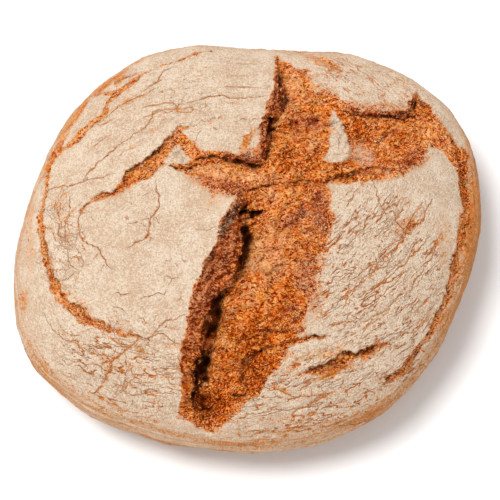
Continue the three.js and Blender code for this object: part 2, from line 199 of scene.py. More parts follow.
CRACKS = {
    "long gap under the left flap": Crack(
        route=((-3.5, 29, 1.5), (-2, 21, 4), (-1.6, 13, 4.4), (-2.6, -2, 3), (-6, -12, 2.4),
               (-13.8, -23, 3.4), (-18, -32, 4.4), (-21.3, -42, 4.8), (-22.6, -51, 5), (-25, -61, 7.5),
               (-25.5, -68, 5.5), (-28.5, -76, 3), (-28.5, -83, 0.4)),
        depth=11, opening=0.8, lip=4.4, side=RIGHT, bank=26, slope=9,
        edge=(2, 8, 11.5, 14.5, 15, 12, 9.5, 7.5, 6.5, 5.5, 4.5, 3, 1)),
    "gap under the back flap": Crack(
        route=((14, 101, 0.5), (15, 93, 1.5), (17, 86, 3.5), (18, 80, 3), (17, 74, 4), (14, 69, 5),
               (12, 62, 5), (11, 55, 3), (9, 46, 0.4)),
        depth=7, opening=0.5, lip=2.4, side=RIGHT, bank=14, slope=6,
        edge=(1, 1, 1.5, 2, 3, 3.5, 4, 4, 3)),
    "step under the cap": Crack(
        route=((-31, 47, 0.3), (-25, 49, 1.2), (-17, 49, 1.5), (-11, 48.5, 0.5)),
        depth=2.5, opening=0.4, lip=1.2, bank=5),
    "gap under the cap": Crack(
        route=((-16, 48, 0.3), (-11, 47.5, 1.6), (-5, 46.5, 2.6), (1, 44.5, 2.6), (5, 44.5, 1.5),
               (8, 46, 0.3)),
        depth=5, opening=0.5, lip=1.6, bank=6, slope=4, edge=(1, 2, 3, 4.5, 4.5, 2)),
    "pocket at the head of the long gap": Crack(
        route=((-2.5, 18.5, 6), (0.5, 18, 7), (4, 18.8, 4.5), (8, 20, 1)),
        depth=13, opening=0.6),
    "left arm": Crack(
        route=((-86, 20, 1), (-82, 25, 2), (-74, 29, 3), (-66, 33, 3.5), (-62, 39, 4),
               (-55, 43, 4.5), (-49, 48, 5), (-45, 52, 5), (-41, 57, 4), (-36, 62, 3),
               (-31, 65, 1.2), (-19, 68, 0.8), (-11, 70, 0.5)),
        depth=3, opening=0.35, lip=1.2),
    "gap under the flour island": Crack(
        route=((-41, 44, 1), (-36, 42.5, 2.5), (-30, 43, 2.5), (-26, 45, 1)),
        depth=3.5, opening=0.7, lip=0.8),
    "lip of the right shoulder": Crack(
        route=((45, 73, 0.5), (57, 70, 1.5), (69, 70, 2.5), (78, 69, 3.5), (84, 70, 4.5),
               (85, 76, 3), (85, 82, 0.5)),
        depth=3, opening=0.5, lip=1.4, bank=18, edge=(1, 1.4, 1.6, 1.8, 1.8, 1.2, 1)),
    "right ring": Crack(
        route=((85, 82, 1.5), (90, 75, 3.5), (97, 66, 4.5), (103, 60, 5), (108, 52, 6.5),
               (110, 43, 8), (111, 30, 8.5), (112, 22, 8), (110, 12, 6.5), (108, 2, 6),
               (106, -6, 6.5), (105, -15, 7.5), (101, -24, 5.5), (97, -34, 4.5), (93, -43, 4),
               (87, -51, 4), (80, -60, 5), (72, -66, 5), (69, -68, 1.5)),
        depth=2.4, opening=0.12, lip=1.2, side=RIGHT),
    "left ring": Crack(
        route=((-104, 30, 3.5), (-106, 17, 3), (-106, 9, 4), (-105, 0, 4), (-103, -9, 4.5),
               (-99, -18, 5), (-94, -26, 6.5), (-87, -33, 6.5), (-79, -37, 4.5), (-68, -41, 3),
               (-57, -44, 1.5)),
        depth=2, opening=0.1, lip=1.4),
    "back ring": Crack(
        route=((-104, 30, 3.5), (-103, 36, 4), (-101, 44, 4.5), (-97, 51, 5.5), (-89, 58, 5.5),
               (-82, 64, 4.5), (-74, 71, 4), (-73, 76, 2.5), (-64, 84, 4.5), (-53, 92, 2),
               (-39, 97, 2), (-28, 100, 3), (-12, 103, 3), (10, 103, 2)),
        depth=1.6, opening=0.1, lip=0.9, side=RIGHT),
    "outer branch of the back ring": Crack(
        route=((-88, 68, 1), (-82, 76, 1.6), (-78.5, 80, 2), (-71, 81.5, 2.5), (-64, 85, 1)),
        depth=1.2, opening=0.3, lip=0.6, side=RIGHT),
    "pocket above the back ring": Crack(
        route=((-69, 85.5, 0.5), (-66, 88, 2.5), (-62, 89.5, 2), (-56, 92, 0.5)),
        depth=2.6, opening=0.6, lip=0.5),
    "tear of the back rim": Crack(
        route=((24, 101.5, 1), (31, 100.5, 3), (38, 98.5, 3.5), (44, 96, 3), (49, 93.5, 1)),
        depth=1.4, opening=0.3, lip=0.6, side=RIGHT),
    "slit of the right plate": Crack(
        route=((26, -63, 1.2), (33, -61, 2.8), (40, -58.5, 5.5), (48, -56, 6.2), (56, -53.5, 5.8),
               (62, -51.3, 4.4), (67, -49.3, 3), (72, -47.3, 1)),
        depth=3.7, opening=0.8, lip=0.9),
    "short slit": Crack(
        route=((18, -46.5, 1.2), (25, -45.5, 3), (31, -44.5, 2.4), (37, -43.5, 1.8),
               (41.5, -43.8, 0.8)),
        depth=4.5, opening=0.6, lip=0.5),
    "ledge across the crumb": Crack(
        route=((-3, 31, 1), (8, 33, 2), (18, 34, 2.5), (28, 36, 2), (41, 37, 2.5), (54, 40, 2.5),
               (62, 43, 1.5), (72, 43, 1)),
        depth=2.6, opening=0.35, lip=0.8, bank=6),
    "fold of the crumb below": Crack(
        route=((19, -48.5, 0.8), (13, -49.5, 1.6), (7.5, -51, 2.4), (3, -54, 2.2), (-0.5, -57, 3),
               (-2.2, -61.5, 2.4), (-3.6, -66, 2.6), (-6, -70, 1)),
        depth=5, opening=0.5, lip=1.2),
    "nick in the crumb": Crack(
        route=((4, -40.5, 0.6), (9, -40.5, 1.8), (15, -41, 2.2), (21, -40.5, 0.8)),
        depth=3.8, opening=0.6, lip=0.8),
    "pits at the front": Crack(
        route=((-9, -73, 1), (-6.5, -74.5, 2.5), (-3.5, -75, 2), (0, -73, 1)),
        depth=3.5, opening=0.6, lip=0.2),
    "fold of the crumb above": Crack(
        route=((14, 66, 1), (22, 66, 1.5), (31, 68, 1)),
        depth=1.6, opening=0.5, lip=0.4, bank=5),
    "fold at the right shoulder": Crack(
        route=((66, 50, 1), (67, 56, 2), (71, 61, 2), (78, 64, 1)),
        depth=2, opening=0.4, lip=0.5),
    "hollow at the front": Crack(
        route=((-28, -70, 2), (-24, -73.5, 7), (-22.5, -78, 10), (-23, -83, 7), (-25, -87, 1.5)),
        depth=6, opening=0.5),
}

SIDE_CRACKS = {
    "back seam": Crack(
        route=((62, 46, 1.5), (70, 49, 2.5), (78, 50, 3), (87, 48, 3.5), (96, 47, 3.5),
               (104, 49, 3), (112, 50, 2.5), (126, 46, 1.5)),
        depth=3, opening=0.2, lip=0.8),
    "back branch": Crack(
        route=((96, 46, 2), (101, 36, 2.5), (99, 26, 1)),
        depth=2, opening=0.2, lip=0.4),
    "left seam": Crack(
        route=((168, 30, 1), (182, 33, 2.5), (198, 29, 2), (210, 31, 1)),
        depth=2, opening=0.2, lip=0.5, side=RIGHT),
}

# Hair cracks through (u, v), by width.
HAIR_CRACKS = {
    2.4: (
        ((-57, -45), (-61, -49), (-66, -53), (-70, -56), (-72, -62), (-75, -68), (-78, -73)),
    ),
    1.3: (
        ((-104, 29), (-99, 32), (-94, 33), (-89, 34), (-82, 36), (-70, 40)),
        ((82, 10), (79, 5), (74, 1), (68, -4), (63, -12), (57, -17), (47, -24)),
        ((79, 8), (82, 11), (86, 14), (89, 17), (92, 23), (94, 26)),
        ((59, -34), (52, -36), (46, -38), (41, -39)),
    ),
    1.2: (
        ((-85, 36), (-81, 42), (-73, 50), (-67, 55), (-61, 59), (-56, 63), (-50, 68), (-48, 72),
         (-41, 72), (-37, 75), (-31, 77), (-23, 79), (-16, 81), (-9, 80), (0, 79), (9, 80)),
        ((-50, 86), (-47, 88), (-45, 92), (-40, 94)),
        ((-86, 20), (-87, 15), (-86, 9), (-83, 4), (-78, 1), (-75, -3), (-71, -8)),
        ((-48, 35), (-47, 29), (-47, 23), (-50, 17), (-51, 12), (-55, 6), (-62, 2)),
        ((65, 35), (67, 27), (69, 23), (70, 20), (74, 20), (76, 15), (80, 11)),
        ((92, 7), (88, 3), (85, -1), (80, -6), (75, -10)),
        ((6, -42), (12, -41), (17, -40)),
        ((-57, -44), (-52, -45), (-47, -40), (-40, -35), (-33, -32)),
        ((13, -71), (18, -73), (23, -74)),
        ((2, -93), (4, -92), (5, -91)),
    ),
    0.7: (
        ((-82, 62), (-72, 70), (-61, 78), (-46, 84)),
        ((-5, 67), (1, 68), (7, 69)),
        ((-29, 56), (-27, 58), (-25, 62)),
        ((-5, 57), (-3, 59), (1, 62), (1, 65)),
        ((-4, 96), (1, 96), (6, 96)),
        ((-60, 15), (-56, 16), (-50, 17), (-46, 15)),
        ((-91, 28), (-92, 18), (-94, 15), (-93, 7), (-92, 1)),
        ((-98, 25), (-97, 18), (-97, 9), (-94, 2), (-92, -5), (-88, -9)),
        ((-96, -15), (-92, -14), (-88, -10)),
        ((-94, 7), (-88, 9)),
        ((-55, -24), (-50, -23), (-43, -21)),
        ((-68, -28), (-65, -29), (-63, -31)),
        ((-26, 12), (-21, 12), (-16, 14)),
        ((-69, -22), (-65, -23), (-62, -22)),
        ((-53, -49), (-51, -45), (-45, -42), (-38, -47), (-32, -47), (-30, -44)),
        ((-105, -32), (-101, -39), (-98, -42), (-94, -46), (-88, -46), (-87, -52)),
        ((-70, -77), (-65, -70), (-63, -63), (-60, -59)),
        ((-68, -73), (-64, -72), (-62, -66)),
        ((70, 20), (65, 18), (59, 16)),
        ((96, 2), (94, -3), (89, -8)),
        ((68, -18), (65, -22), (65, -25), (63, -27), (60, -29)),
        ((65, -35), (61, -39), (59, -43)),
        ((41, 5), (45, 7), (48, 10)),
        ((46, -9), (50, -9), (53, -9)),
        ((44, -15), (49, -16)),
        ((75, 1), (71, -6), (66, -9), (59, -14), (53, -21), (46, -26), (42, -29)),
        ((97, 0), (92, -6), (89, -11), (84, -18), (79, -23)),
        ((0, -74), (6, -71), (15, -72), (26, -75), (41, -74)),
        ((46.5, 61), (47.5, 57), (46.5, 53)),
        ((3, -84), (13, -82), (26, -81), (41, -78)),
        ((41, -91), (54, -89), (69, -84), (82, -77)),
    ),
}

ROUTE_STEP = 1.5
THIN_EDGE = 0.5  # the bare edge of a lip without a brown one


def smooth_route(knots, to_crust):
    """Points every ROUTE_STEP along a rounded line through the knots, with their other values."""
    knots = np.array(knots, dtype=float)
    ends = np.vstack((2 * knots[0] - knots[1], knots, 2 * knots[-1] - knots[-2]))
    rounded = [knots[0]]
    for before, start, end, after in zip(ends, ends[1:], ends[2:], ends[3:]):
        steps = max(2, round(np.linalg.norm((end - start)[:2]) / ROUTE_STEP))
        for share in np.arange(1, steps + 1) / steps:
            swing = (2 * before - 5 * start + 4 * end - after) * share**2
            twist = (3 * start - before - 3 * end + after) * share**3
            rounded.append(start + ((end - before) * share + swing + twist) / 2)
    rounded = np.array(rounded)
    return to_crust(rounded[:, :2]), rounded[:, 2:]


def smoothstep(values, low, high):
    share = np.clip((values - low) / (high - low), 0, 1)
    return share * share * (3 - 2 * share)


def nearest_on(route, values, points, normals, reach):
    """Each point's distance to a route, its side of it, and the route's values there."""
    distance = np.full(len(points), np.inf)
    side = np.ones(len(points))
    found = np.zeros((len(points), values.shape[1]))
    low, high = route.min(0) - reach, route.max(0) + reach
    near = np.flatnonzero(((points > low) & (points < high)).all(1))
    for start, end, start_values, end_values in zip(route, route[1:], values, values[1:]):
        heading = end - start
        offset = points[near] - start
        share = np.clip(offset @ heading / (heading @ heading), 0, 1)
        offset -= share[:, None] * heading
        gap = np.linalg.norm(offset, axis=1)
        closer = gap < distance[near]
        chosen = near[closer]
        distance[chosen] = gap[closer]
        turned = np.cross(heading, offset[closer])
        side[chosen] = np.where((turned * normals[chosen]).sum(1) > 0, 1, -1)
        blend = share[closer][:, None]
        found[chosen] = start_values * (1 - blend) + end_values * blend
    return distance, side, found


cracks = []
for table, to_crust in ((CRACKS, crust_under), (SIDE_CRACKS, crust_on_side)):
    for crack in table.values():
        edges = crack.edge or (THIN_EDGE,) * len(crack.route)
        knots = [(*knot, edge) for knot, edge in zip(crack.route, edges)]
        cracks.append((crack, *smooth_route(knots, to_crust)))

hairs = []
for width, routes in HAIR_CRACKS.items():
    for route in routes:
        tapered = [(u, v, width if 0 < i < len(route) - 1 else width / 3)
                   for i, (u, v) in enumerate(route)]
        hairs.append(smooth_route(tapered, crust_under))

# ---------------------------------------------------------------------------------------------
# The tear: the crust burst from the back to the front with an arm to each side, and the crumb that
# swelled up through it is bare. Patches of crust baked brown, and others kept or lost their flour.

TEAR_EDGE = np.array((
    (14, 101), (21, 97), (30, 92), (33, 85), (43, 83), (46, 77), (57, 72), (70, 71), (84, 71),
    (84, 80), (90, 77), (98, 67), (107, 56), (113, 50), (113, 41), (108, 35), (106, 43), (99, 51),
    (92, 53), (87, 47), (80, 40), (65, 36), (42, 35), (42, 12), (39, 1), (35, -9), (31, -26),
    (26, -42), (20, -52), (13, -63), (5, -73), (-5, -82), (-19, -93), (-28, -88), (-36, -84),
    (-34, -72), (-34, -50), (-31, -33), (-28, -17), (-23, -7), (-19, 0), (-14, 12), (-5, 28),
    (-8, 35), (-17, 37), (-30, 40), (-42, 45), (-50, 39), (-61, 34), (-70, 31), (-63, 39),
    (-53, 45), (-46, 51), (-42, 57), (-34, 63), (-29, 56), (-25, 52), (-13, 52), (0, 48), (5, 51),
    (8, 67), (12, 84), (13, 95),
), dtype=float)

# Patches are soft ovals on the sheet: u, v, half length, half breadth, tilt in degrees, strength.
# A patch fades from the first of these shares of its size to the second.
PATCH_FADE = (0.3, 1.4)
BAKED_PATCHES = (
    (-14, 34, 17, 5.5, -17, 1), (1, 50, 7, 4, 20, 0.9), (37, 22, 5, 14, 4, 0.9),
    (24, 17, 12, 4, 32, 0.9), (84, 47, 9, 6, 20, 0.9), (28, 66, 14, 5, -8, 0.8),
    (62, 74, 20, 3, -2, 0.6), (31, -18, 8, 18, 14, 0.65), (85, 13, 5, 2.5, 45, 0.5),
    (22, -60, 8, 3, 50, 0.5), (14, 3, 9, 12, -20, 0.45), (30, 51, 6, 8, 0, 0.5),
    (60, 49, 6, 8, 0, 0.5), (19, -28, 8, 10, 30, 0.35),
)
SCORCHED_PATCHES = (
    (-10, 17, 4, 14, -28, 0.85), (-21, -4, 3, 13, -24, 0.6), (0, 50, 5, 3, 20, 0.6),
    (38, 28, 4, 7, 0, 0.4), (24, 16, 8, 3, 32, 0.4), (13, 84, 2, 10, 10, 0.5),
    (-29, -38, 3, 9, 10, 0.4),
)
PALE_CRUMB_PATCHES = (
    (10, -2, 11, 20, -25, 0.8), (14, 72, 8, 14, 10, 0.3), (4, 38, 16, 5, -5, 0.9),
    (35, 62, 10, 8, 0, 0.4), (95, 60, 6, 12, 40, 0.5), (14, 26, 12, 6, 10, 0.7),
    (-18, 41, 12, 5, -10, 1), (-36, 52, 24, 9, 30, 0.45), (70, 60, 20, 8, 0, 0.2),
    (22, 84, 9, 16, 20, 0.6),
)
# Darker crumb tone; the patch over the hollow at the front is painted shade of that hollow.
DEEP_CRUMB_PATCHES = (
    (24, -34, 9, 16, 20, 0.5), (8, -62, 14, 16, 30, 0.7), (-18, -78, 12, 10, 0, 1),
    (2, -47, 11, 13, 0, 0.6), (55, 62, 16, 4, 0, 0.5), (110, 25, 7, 34, 0, 0.7),
)
FLOUR_PATCHES = (
    (58, 50, 9, 6, -40, 0.6), (30, -12, 8, 14, 12, 0.26), (34, 12, 9, 22, 12, 0.24),
    (24, -34, 8, 12, 30, 0.18), (68, 42, 14, 4, 10, 0.25), (2, 34, 10, 3, -5, 0.12),
)
BARE_PATCHES = (
    (-115, -25, 3, 6, 0, 0.5), (-103, -66, 4, 14, 35, 0.45), (-66, 88, 4, 2, 35, 0.8),
    (39, 96.5, 12, 2.2, -20, 0.55), (118, 10, 3.5, 30, 0, 0.4), (60, -84, 30, 3, 22, 0.4),
    (12, -86, 20, 2.5, 0, 0.2), (34, -74, 22, 2, 6, 0.25), (-106, 52, 3, 12, -35, 0.4),
    (-66, 31, 9, 3, 28, 0.4), (80, 14, 9, 3, 48, 0.45), (-96, 20, 5, 14, 5, 0.25),
    (-60, -60, 24, 6, -20, 0.2), (-85, -30, 8, 5, -45, 0.4), (-17, 28, 12, 5, 20, 0.25),
    (100, 5, 5, 20, 0, 0.25), (40, -52, 14, 4, 10, 0.3), (114, 14, 7, 34, -3, 0.75),
    (104, -34, 5, 20, -25, 0.5), (-92, 66, 26, 2.4, 50, 0.8), (-100, 48, 16, 1.8, 62, 0.75),
    (-72, 87, 14, 2.2, 36, 0.8), (60, 86, 44, 18, -22, 0.08), (-112, 10, 3, 30, 0, 0.3),
    (24, 103, 12, 2, -4, 0.4), (-62, 77, 14, 1.3, 27, 0.5), (-17, 34, 17, 4, -20, 0.35),
    (-1, 57.5, 9, 2.2, 60, 0.75), (17, -71.5, 6, 1.8, -20, 0.55), (44, -62, 12, 2.4, 18, 0.85),
)
SOFT_EDGE_PATCHES = (
    (40, 5, 12, 34, 6, 1), (24, -50, 16, 18, 30, 0.7), (78, 40, 14, 8, 20, 0.8),
    (36, 85, 12, 10, -30, 0.9), (-15, 35, 15, 6, -15, 0.7),
)

# Scraps of floured skin that stayed whole in the tear.
FLOUR_SCRAPS = tuple(np.array(outline, dtype=float) for outline in (
    ((-36, 55.5), (-33, 51.5), (-31, 48), (-33, 45.5), (-38, 45), (-42.5, 45.5), (-42, 48),
     (-38.5, 52)),
    ((43.5, 72.5), (45.4, 71), (48.3, 65.7), (49.2, 62.5), (50.3, 59), (52.5, 54.3), (51.5, 49.4),
     (49.5, 47.3), (44, 46.2), (38.8, 48.2), (40, 51.4), (42.2, 57), (42.6, 62.5), (42.2, 69)),
))

# The tear's edge and the cracks wander in turns of (length, size, seed).
RAGGED_TURNS = ((11, 1.3, 7.1), (3.4, 1.1, 3.3), (1.5, 0.55, 9.3))


def depth_into(outline, places):
    """The distance from places on the sheet to an outline, positive inside it."""
    distance = np.full(len(places), np.inf)
    is_inside = np.zeros(len(places), dtype=bool)
    for start, end in zip(np.roll(outline, 1, axis=0), outline):
        heading = end - start
        offset = places - start
        share = np.clip(offset @ heading / (heading @ heading), 0, 1)
        gap = np.linalg.norm(offset - share[:, None] * heading, axis=1)
        distance = np.minimum(distance, gap)
        if start[1] != end[1]:
            crosses = (start[1] > places[:, 1]) != (end[1] > places[:, 1])
            crossing = start[0] + (places[:, 1] - start[1]) / heading[1] * heading[0]
            is_inside ^= crosses & (places[:, 0] < crossing)
    return np.where(is_inside, distance, -distance)


def patches(ovals, places):
    strength = np.zeros(len(places))
    for u, v, length, breadth, tilt, peak in ovals:
        offset = places - (u, v)
        cosine, sine = math.cos(math.radians(tilt)), math.sin(math.radians(tilt))
        along = (offset[:, 0] * cosine + offset[:, 1] * sine) / length
        beside = (offset[:, 1] * cosine - offset[:, 0] * sine) / breadth
        fading = smoothstep(np.hypot(along, beside), *PATCH_FADE)
        strength = np.maximum(strength, peak * (1 - fading))
    return strength


def bumps(points, length, seed=0.0):
    """Smooth noise from about -1 to 1 at every point, with lumps of that length."""
    return np.array([noise.noise(Vector(p)) for p in points / length + seed])


def rough(points, *sizes, level=0.0):
    """Bumps of several sizes together, each with its height, its length and its seed."""
    return sum((height * bumps(points, length, seed) for height, length, seed in sizes), level)


def shift(points, length, size, seed):
    """The points moved about a little, so that what is laid out on them turns ragged."""
    moves = [noise.noise_vector(Vector(p)) for p in points / length + seed]
    return points + size * np.array(moves)


def ragged(points):
    for length, size, seed in RAGGED_TURNS:
        points = shift(points, length, size, seed)
    return points


noise.seed_set(9)

# ---------------------------------------------------------------------------------------------
# The loaf's mesh: a ball whose edges are split until they suit what they carry, finest in the
# torn crumb and along the cracks. The next section lays it on the crust and gives it its relief.

FAR_AWAY = 99.0  # the distance to a crack where none is near
CRACK_REACH = 30  # beyond this a crack has no effect
HAIR_REACH = 4
LIP_REACH = 7  # behind its edge a flap sinks back to the crust over about this length
FLAP_REACH = 5  # and as far as this behind it the skin counts as the flap's
LEAST_EDGE = 0.3
BROWN_EDGE = 1  # a bare edge broader than this baked brown
TORN_EDGE = 3  # and one broader than this has a torn rim
CURL_SHARE = 0.22  # how far the flap's edge curls down, as a share of its breadth
LEAST_CURL = 0.4


class Surface:
    """Everything that is laid out on the even crust, measured at every vertex."""

    def __init__(self, directions):
        nothing = np.zeros(len(directions))
        self.point = even_crust(directions)
        self.normal = crust_normals(directions)
        self.to_eye = unit(eye - self.point)
        self.facing = (self.normal * self.to_eye).sum(1)
        moved = ragged(self.point)
        self.place = on_sheet(moved)
        self.seen = smoothstep(self.facing, 0.05, 0.25)
        into = depth_into(TEAR_EDGE, self.place)
        self.into_tear = np.where(self.facing > 0, into, -FAR_AWAY)
        fine_fray = bumps(self.point, 1.8, 1.6)
        self.swell = 1 + 0.7 * bumps(self.point, 6, 2.9) + 0.4 * fine_fray
        self.fray = bumps(self.point, 4.5, 5.2) + 0.8 * fine_fray
        self.groove = self.lip = self.bank = self.inside_crack = nothing
        self.brown_edge = self.on_flap_side = self.torn_rim = self.painted_shade_under_lip = nothing
        self.to_crack = self.beyond_lip = self.to_hair = nothing + FAR_AWAY
        self.hair_width = nothing + 1
        for crack, route, values in cracks:
            self.add_crack(crack, *nearest_on(route, values, moved, self.normal, CRACK_REACH))
        for route, values in hairs:
            distance, side, found = nearest_on(route, values, moved, self.normal, HAIR_REACH)
            is_nearest = distance < np.abs(self.to_hair)
            self.to_hair = np.where(is_nearest, side * distance, self.to_hair)
            self.hair_width = np.where(is_nearest, found[:, 0], self.hair_width)

    def add_crack(self, crack, distance, side, found):
        width = np.maximum(found[:, 0] * self.swell, 0)
        edge = np.maximum(found[:, 1], LEAST_EDGE)
        widest = max(knot[2] for knot in crack.route)
        # It reaches its full depth where it is three quarters of its greatest width.
        full = np.clip(found[:, 0] / (0.75 * widest), 0, 1)
        beyond = distance - width / 2
        is_lip = side == crack.side
        # The wall is steep under the lip, and across from it the crumb slopes up from the bottom.
        is_slope = ~is_lip & (crack.lip > 0)
        low_edge = np.where(is_slope, 0, np.maximum(0.3 * crack.opening, 0.28) * width)
        high_edge = np.where(is_slope, np.maximum(width, crack.slope), width / 2 + 0.4)
        groove = crack.depth * full * (1 - smoothstep(distance, low_edge, high_edge))
        # The flap rises to its flour's end, then curls down over its bare edge into the gap.
        rise = np.exp(-np.maximum(beyond - edge, 0) / LIP_REACH)
        curl = np.clip(1 - beyond / edge, 0, 1)
        drop = (CURL_SHARE * edge + LEAST_CURL) * curl**1.6
        strength = np.minimum(2 * full, 1)
        lip = np.where(is_lip, strength * (crack.lip * rise - drop), 0)
        bank = 0
        if crack.bank:
            bank = np.where(is_lip, 0, full * (1 - smoothstep(distance, 0, crack.bank)))
        is_brown = is_lip & (edge > BROWN_EDGE)
        on_flap_side = is_brown * smoothstep(full, 0.15, 0.4)
        on_flap_side *= 1 - smoothstep(beyond, edge + 0.6 * FLAP_REACH, edge + FLAP_REACH)
        self.on_flap_side = np.maximum(self.on_flap_side, on_flap_side)
        # The brown face of that edge ends raggedly in the flour, and its rim tore open here and there.
        ends = edge * (1 + 0.3 * self.fray)
        on_face = smoothstep(beyond, -0.6, 0.4) * (1 - smoothstep(beyond, ends - 1.3, ends + 1.3))
        brown = np.where(is_brown, strength * on_face, 0)
        torn_here = (is_lip & (edge > TORN_EDGE)) * strength * np.clip(0.55 + 1.5 * self.fray, 0, 1)
        torn_here = torn_here * (1 - smoothstep(beyond / edge, 0, 0.55))
        self.torn_rim = np.maximum(self.torn_rim, torn_here)
        is_nearest_lip = is_brown & (np.abs(beyond) < np.abs(self.beyond_lip))
        self.beyond_lip = np.where(is_nearest_lip, beyond, self.beyond_lip)
        # Painted shade: the crumb close under the lip is painted dark, the darker the deeper the gap.
        deep = min(crack.depth / 8, 1)
        from_shade = np.abs(beyond + 0.5 + 0.2 * deep)
        shade = 1 - smoothstep(from_shade, 0.3 + 0.3 * deep, 1 + 0.4 * deep)
        painted_shade_under_lip = is_lip * strength * shade * (0.45 + 0.6 * deep)
        self.painted_shade_under_lip = np.maximum(self.painted_shade_under_lip, painted_shade_under_lip)
        inside = (1 - smoothstep(beyond, -0.6, 0.6)) * np.minimum(width / 1.2, 1)
        self.groove = np.maximum(self.groove, groove)
        self.lip = np.where(np.abs(lip) > np.abs(self.lip), lip, self.lip)
        self.bank = np.maximum(self.bank, bank)
        self.brown_edge = np.maximum(self.brown_edge, brown)
        self.inside_crack = np.maximum(self.inside_crack, inside)
        self.to_crack = np.minimum(self.to_crack, beyond)


# The length of the mesh's edges on each kind of ground. Away from a crack they grow longer.
CRUMB_MESH = 0.7
CRACK_MESH = 0.78
HAIR_MESH = 0.85
PLATE_MESH = 1.75
SIDE_MESH = 3.6
BOTTOM_MESH = 10
BOTTOM_HEIGHT = 2
CRACK_MARGIN = 1.5
HAIR_MARGIN = 1
MOST_TRIANGLES = 197_000
SPLITTING_ROUNDS = 7


def wanted_edge(surface):
    wanted = np.where(surface.facing > 0.15, PLATE_MESH, SIDE_MESH)
    wanted = np.where(surface.point[:, 2] < BOTTOM_HEIGHT, BOTTOM_MESH, wanted)
    is_fine = (surface.into_tear > -CRACK_MARGIN) | (surface.brown_edge > 0)
    wanted = np.where(is_fine, CRUMB_MESH, wanted)
    from_crack = np.maximum(surface.to_crack - CRACK_MARGIN, 0)
    from_hair = np.maximum(np.abs(surface.to_hair) - HAIR_MARGIN, 0)
    wanted = np.minimum(wanted, CRACK_MESH + from_crack / 2.5)
    return np.minimum(wanted, HAIR_MESH + from_hair / 2)


def directions_of(dough):
    return unit(np.array([vertex.co for vertex in dough.verts]))


dough = bmesh.new()
bmesh.ops.create_icosphere(dough, subdivisions=5, radius=1)
for _ in range(SPLITTING_ROUNDS):
    surface = Surface(directions_of(dough))
    wanted = wanted_edge(surface)
    dough.verts.index_update()
    pairs = np.array([[vertex.index for vertex in edge.verts] for edge in dough.edges])
    length = np.linalg.norm(surface.point[pairs[:, 0]] - surface.point[pairs[:, 1]], axis=1)
    excess = length / wanted[pairs].mean(1)
    room = (MOST_TRIANGLES - len(dough.faces)) // 2
    longest_first = np.argsort(-excess, kind="stable")
    chosen = longest_first[: min(room, int((excess > 1).sum()))]
    dough.edges.ensure_lookup_table()
    long_edges = [dough.edges[i] for i in chosen]
    if not long_edges:
        break
    bmesh.ops.subdivide_edges(dough, edges=long_edges, cuts=1, use_grid_fill=True)
    many_sided = [face for face in dough.faces if len(face.verts) > 3]
    bmesh.ops.triangulate(dough, faces=many_sided, quad_method="SHORT_EDGE")
    for vertex in dough.verts:
        vertex.co.normalize()

# ---------------------------------------------------------------------------------------------
# Relief on the loaf: the sunken tear with its craggy crumb, the lifted lips, the cracks, and the
# slight unevenness of a hand-shaped crust. Heights and lengths are in millimetres.

# The crumb sinks from a margin outside the tear's edge to its full depth a bank's breadth inside it.
TEAR_DEPTH = 4.5
TEAR_MARGIN = 3
TEAR_BANK = 16
HAIR_DEPTH = 0.45
HAIR_RIM = 0.3
PUFF_HEIGHT = 0.7
PUFF_BREADTH = 3
CREASE_DEPTH = 0.35
CREASE_BREADTH = 0.9
FOLD_LENGTH = 46
FOLD_SPACING = 6.5
FOLD_PROBE = 0.6
SCRAP_HEIGHT = 1.1
SCRAP_FRINGE = (-1.1, 0.5)
STRAND_TURN = math.radians(35)
STRETCH = 0.5
LUMP_LENGTH = 1.9
FOOT_HEIGHT = 12
BOX_GAP = 0.05
# The flour ends at the tear over this breadth, and where its edge is soft over that much more.
EDGE_SOFTNESS = 0.9
MORE_SOFTNESS = 4.0
SWIRL = (9, 3.0, 1.9)  # as the ragged turns: length, size, seed
# Bumps as (height, length, seed).
EDGE_BUMPS = ((0.7, 4.2, 7.7), (0.5, 1.7, 2.3))
CRAGS = ((4.0, 10, 4.4), (3.0, 4.6, 8.8))
LEDGES = (2.6, 7, 2.2)
STRANDS = ((0.7, 2.2, 5.5), (0.7, 1.15, 6.6))
BLISTERS = ((0.55, 17, 1.5), (0.45, 6, 9.1), (0.24, 2.6, 4.7))
UNEVENNESS = ((0.9, 9, 3.7), (0.5, 3, 6.1))

# Where the drying skin wrinkled as it stretched, parted into a web of small plates, or cracked in
# fine ticks, in ovals like the patches above.
WRINKLED_PATCHES = (
    (-50, 74, 52, 20, 30, 1), (-5, 74, 18, 24, 0, 0.9), (60, 84, 34, 14, -25, 0.6),
    (36, -74, 60, 18, 12, 1), (76, -36, 30, 20, 40, 0.9), (72, 6, 26, 34, -20, 0.7),
    (-96, 10, 10, 40, 0, 0.7), (-60, -62, 46, 22, -25, 0.6), (-42, -45, 14, 24, 0, 0.6),
)
WEBBED_PATCHES = (
    (-90, 5, 16, 30, 0, 1), (-55, -60, 48, 26, -25, 1), (-40, -20, 16, 34, 0, 0.7),
    (60, -5, 26, 40, -30, 0.9), (-50, 72, 50, 22, 30, 0.5), (50, -72, 60, 20, 15, 0.7),
    (-52, 18, 30, 20, 0, 0.55), (60, 88, 34, 12, -25, 0.4),
)
TICKED_PATCHES = (
    (66, -12, 40, 52, 20, 1), (40, -72, 70, 26, 12, 0.85), (-62, -62, 50, 26, -25, 0.7),
    (-40, 76, 70, 30, 20, 0.35), (60, 86, 44, 20, -25, 0.5), (-96, 5, 16, 44, 0, 0.5),
    (-50, 10, 40, 40, 0, 0.12),
)

# The back plates lie behind this line through (u, v). The wrinkles of the back run round the first
# middle, and those of the front round the second.
BACK_LINE = ((-130, 22), (-86, 21), (-70, 30), (-61, 34), (-50, 39), (-42, 45), (-17, 38), (-8, 36),
             (42, 36), (65, 38), (80, 43), (88, 50), (92, 54), (99, 52), (106, 44), (130, 40))
ARC_MIDDLES = ((-8, -41), (-25, 97))

directions = directions_of(dough)
surface = Surface(directions)
points, place_on_sheet = surface.point, surface.place
into = surface.into_tear

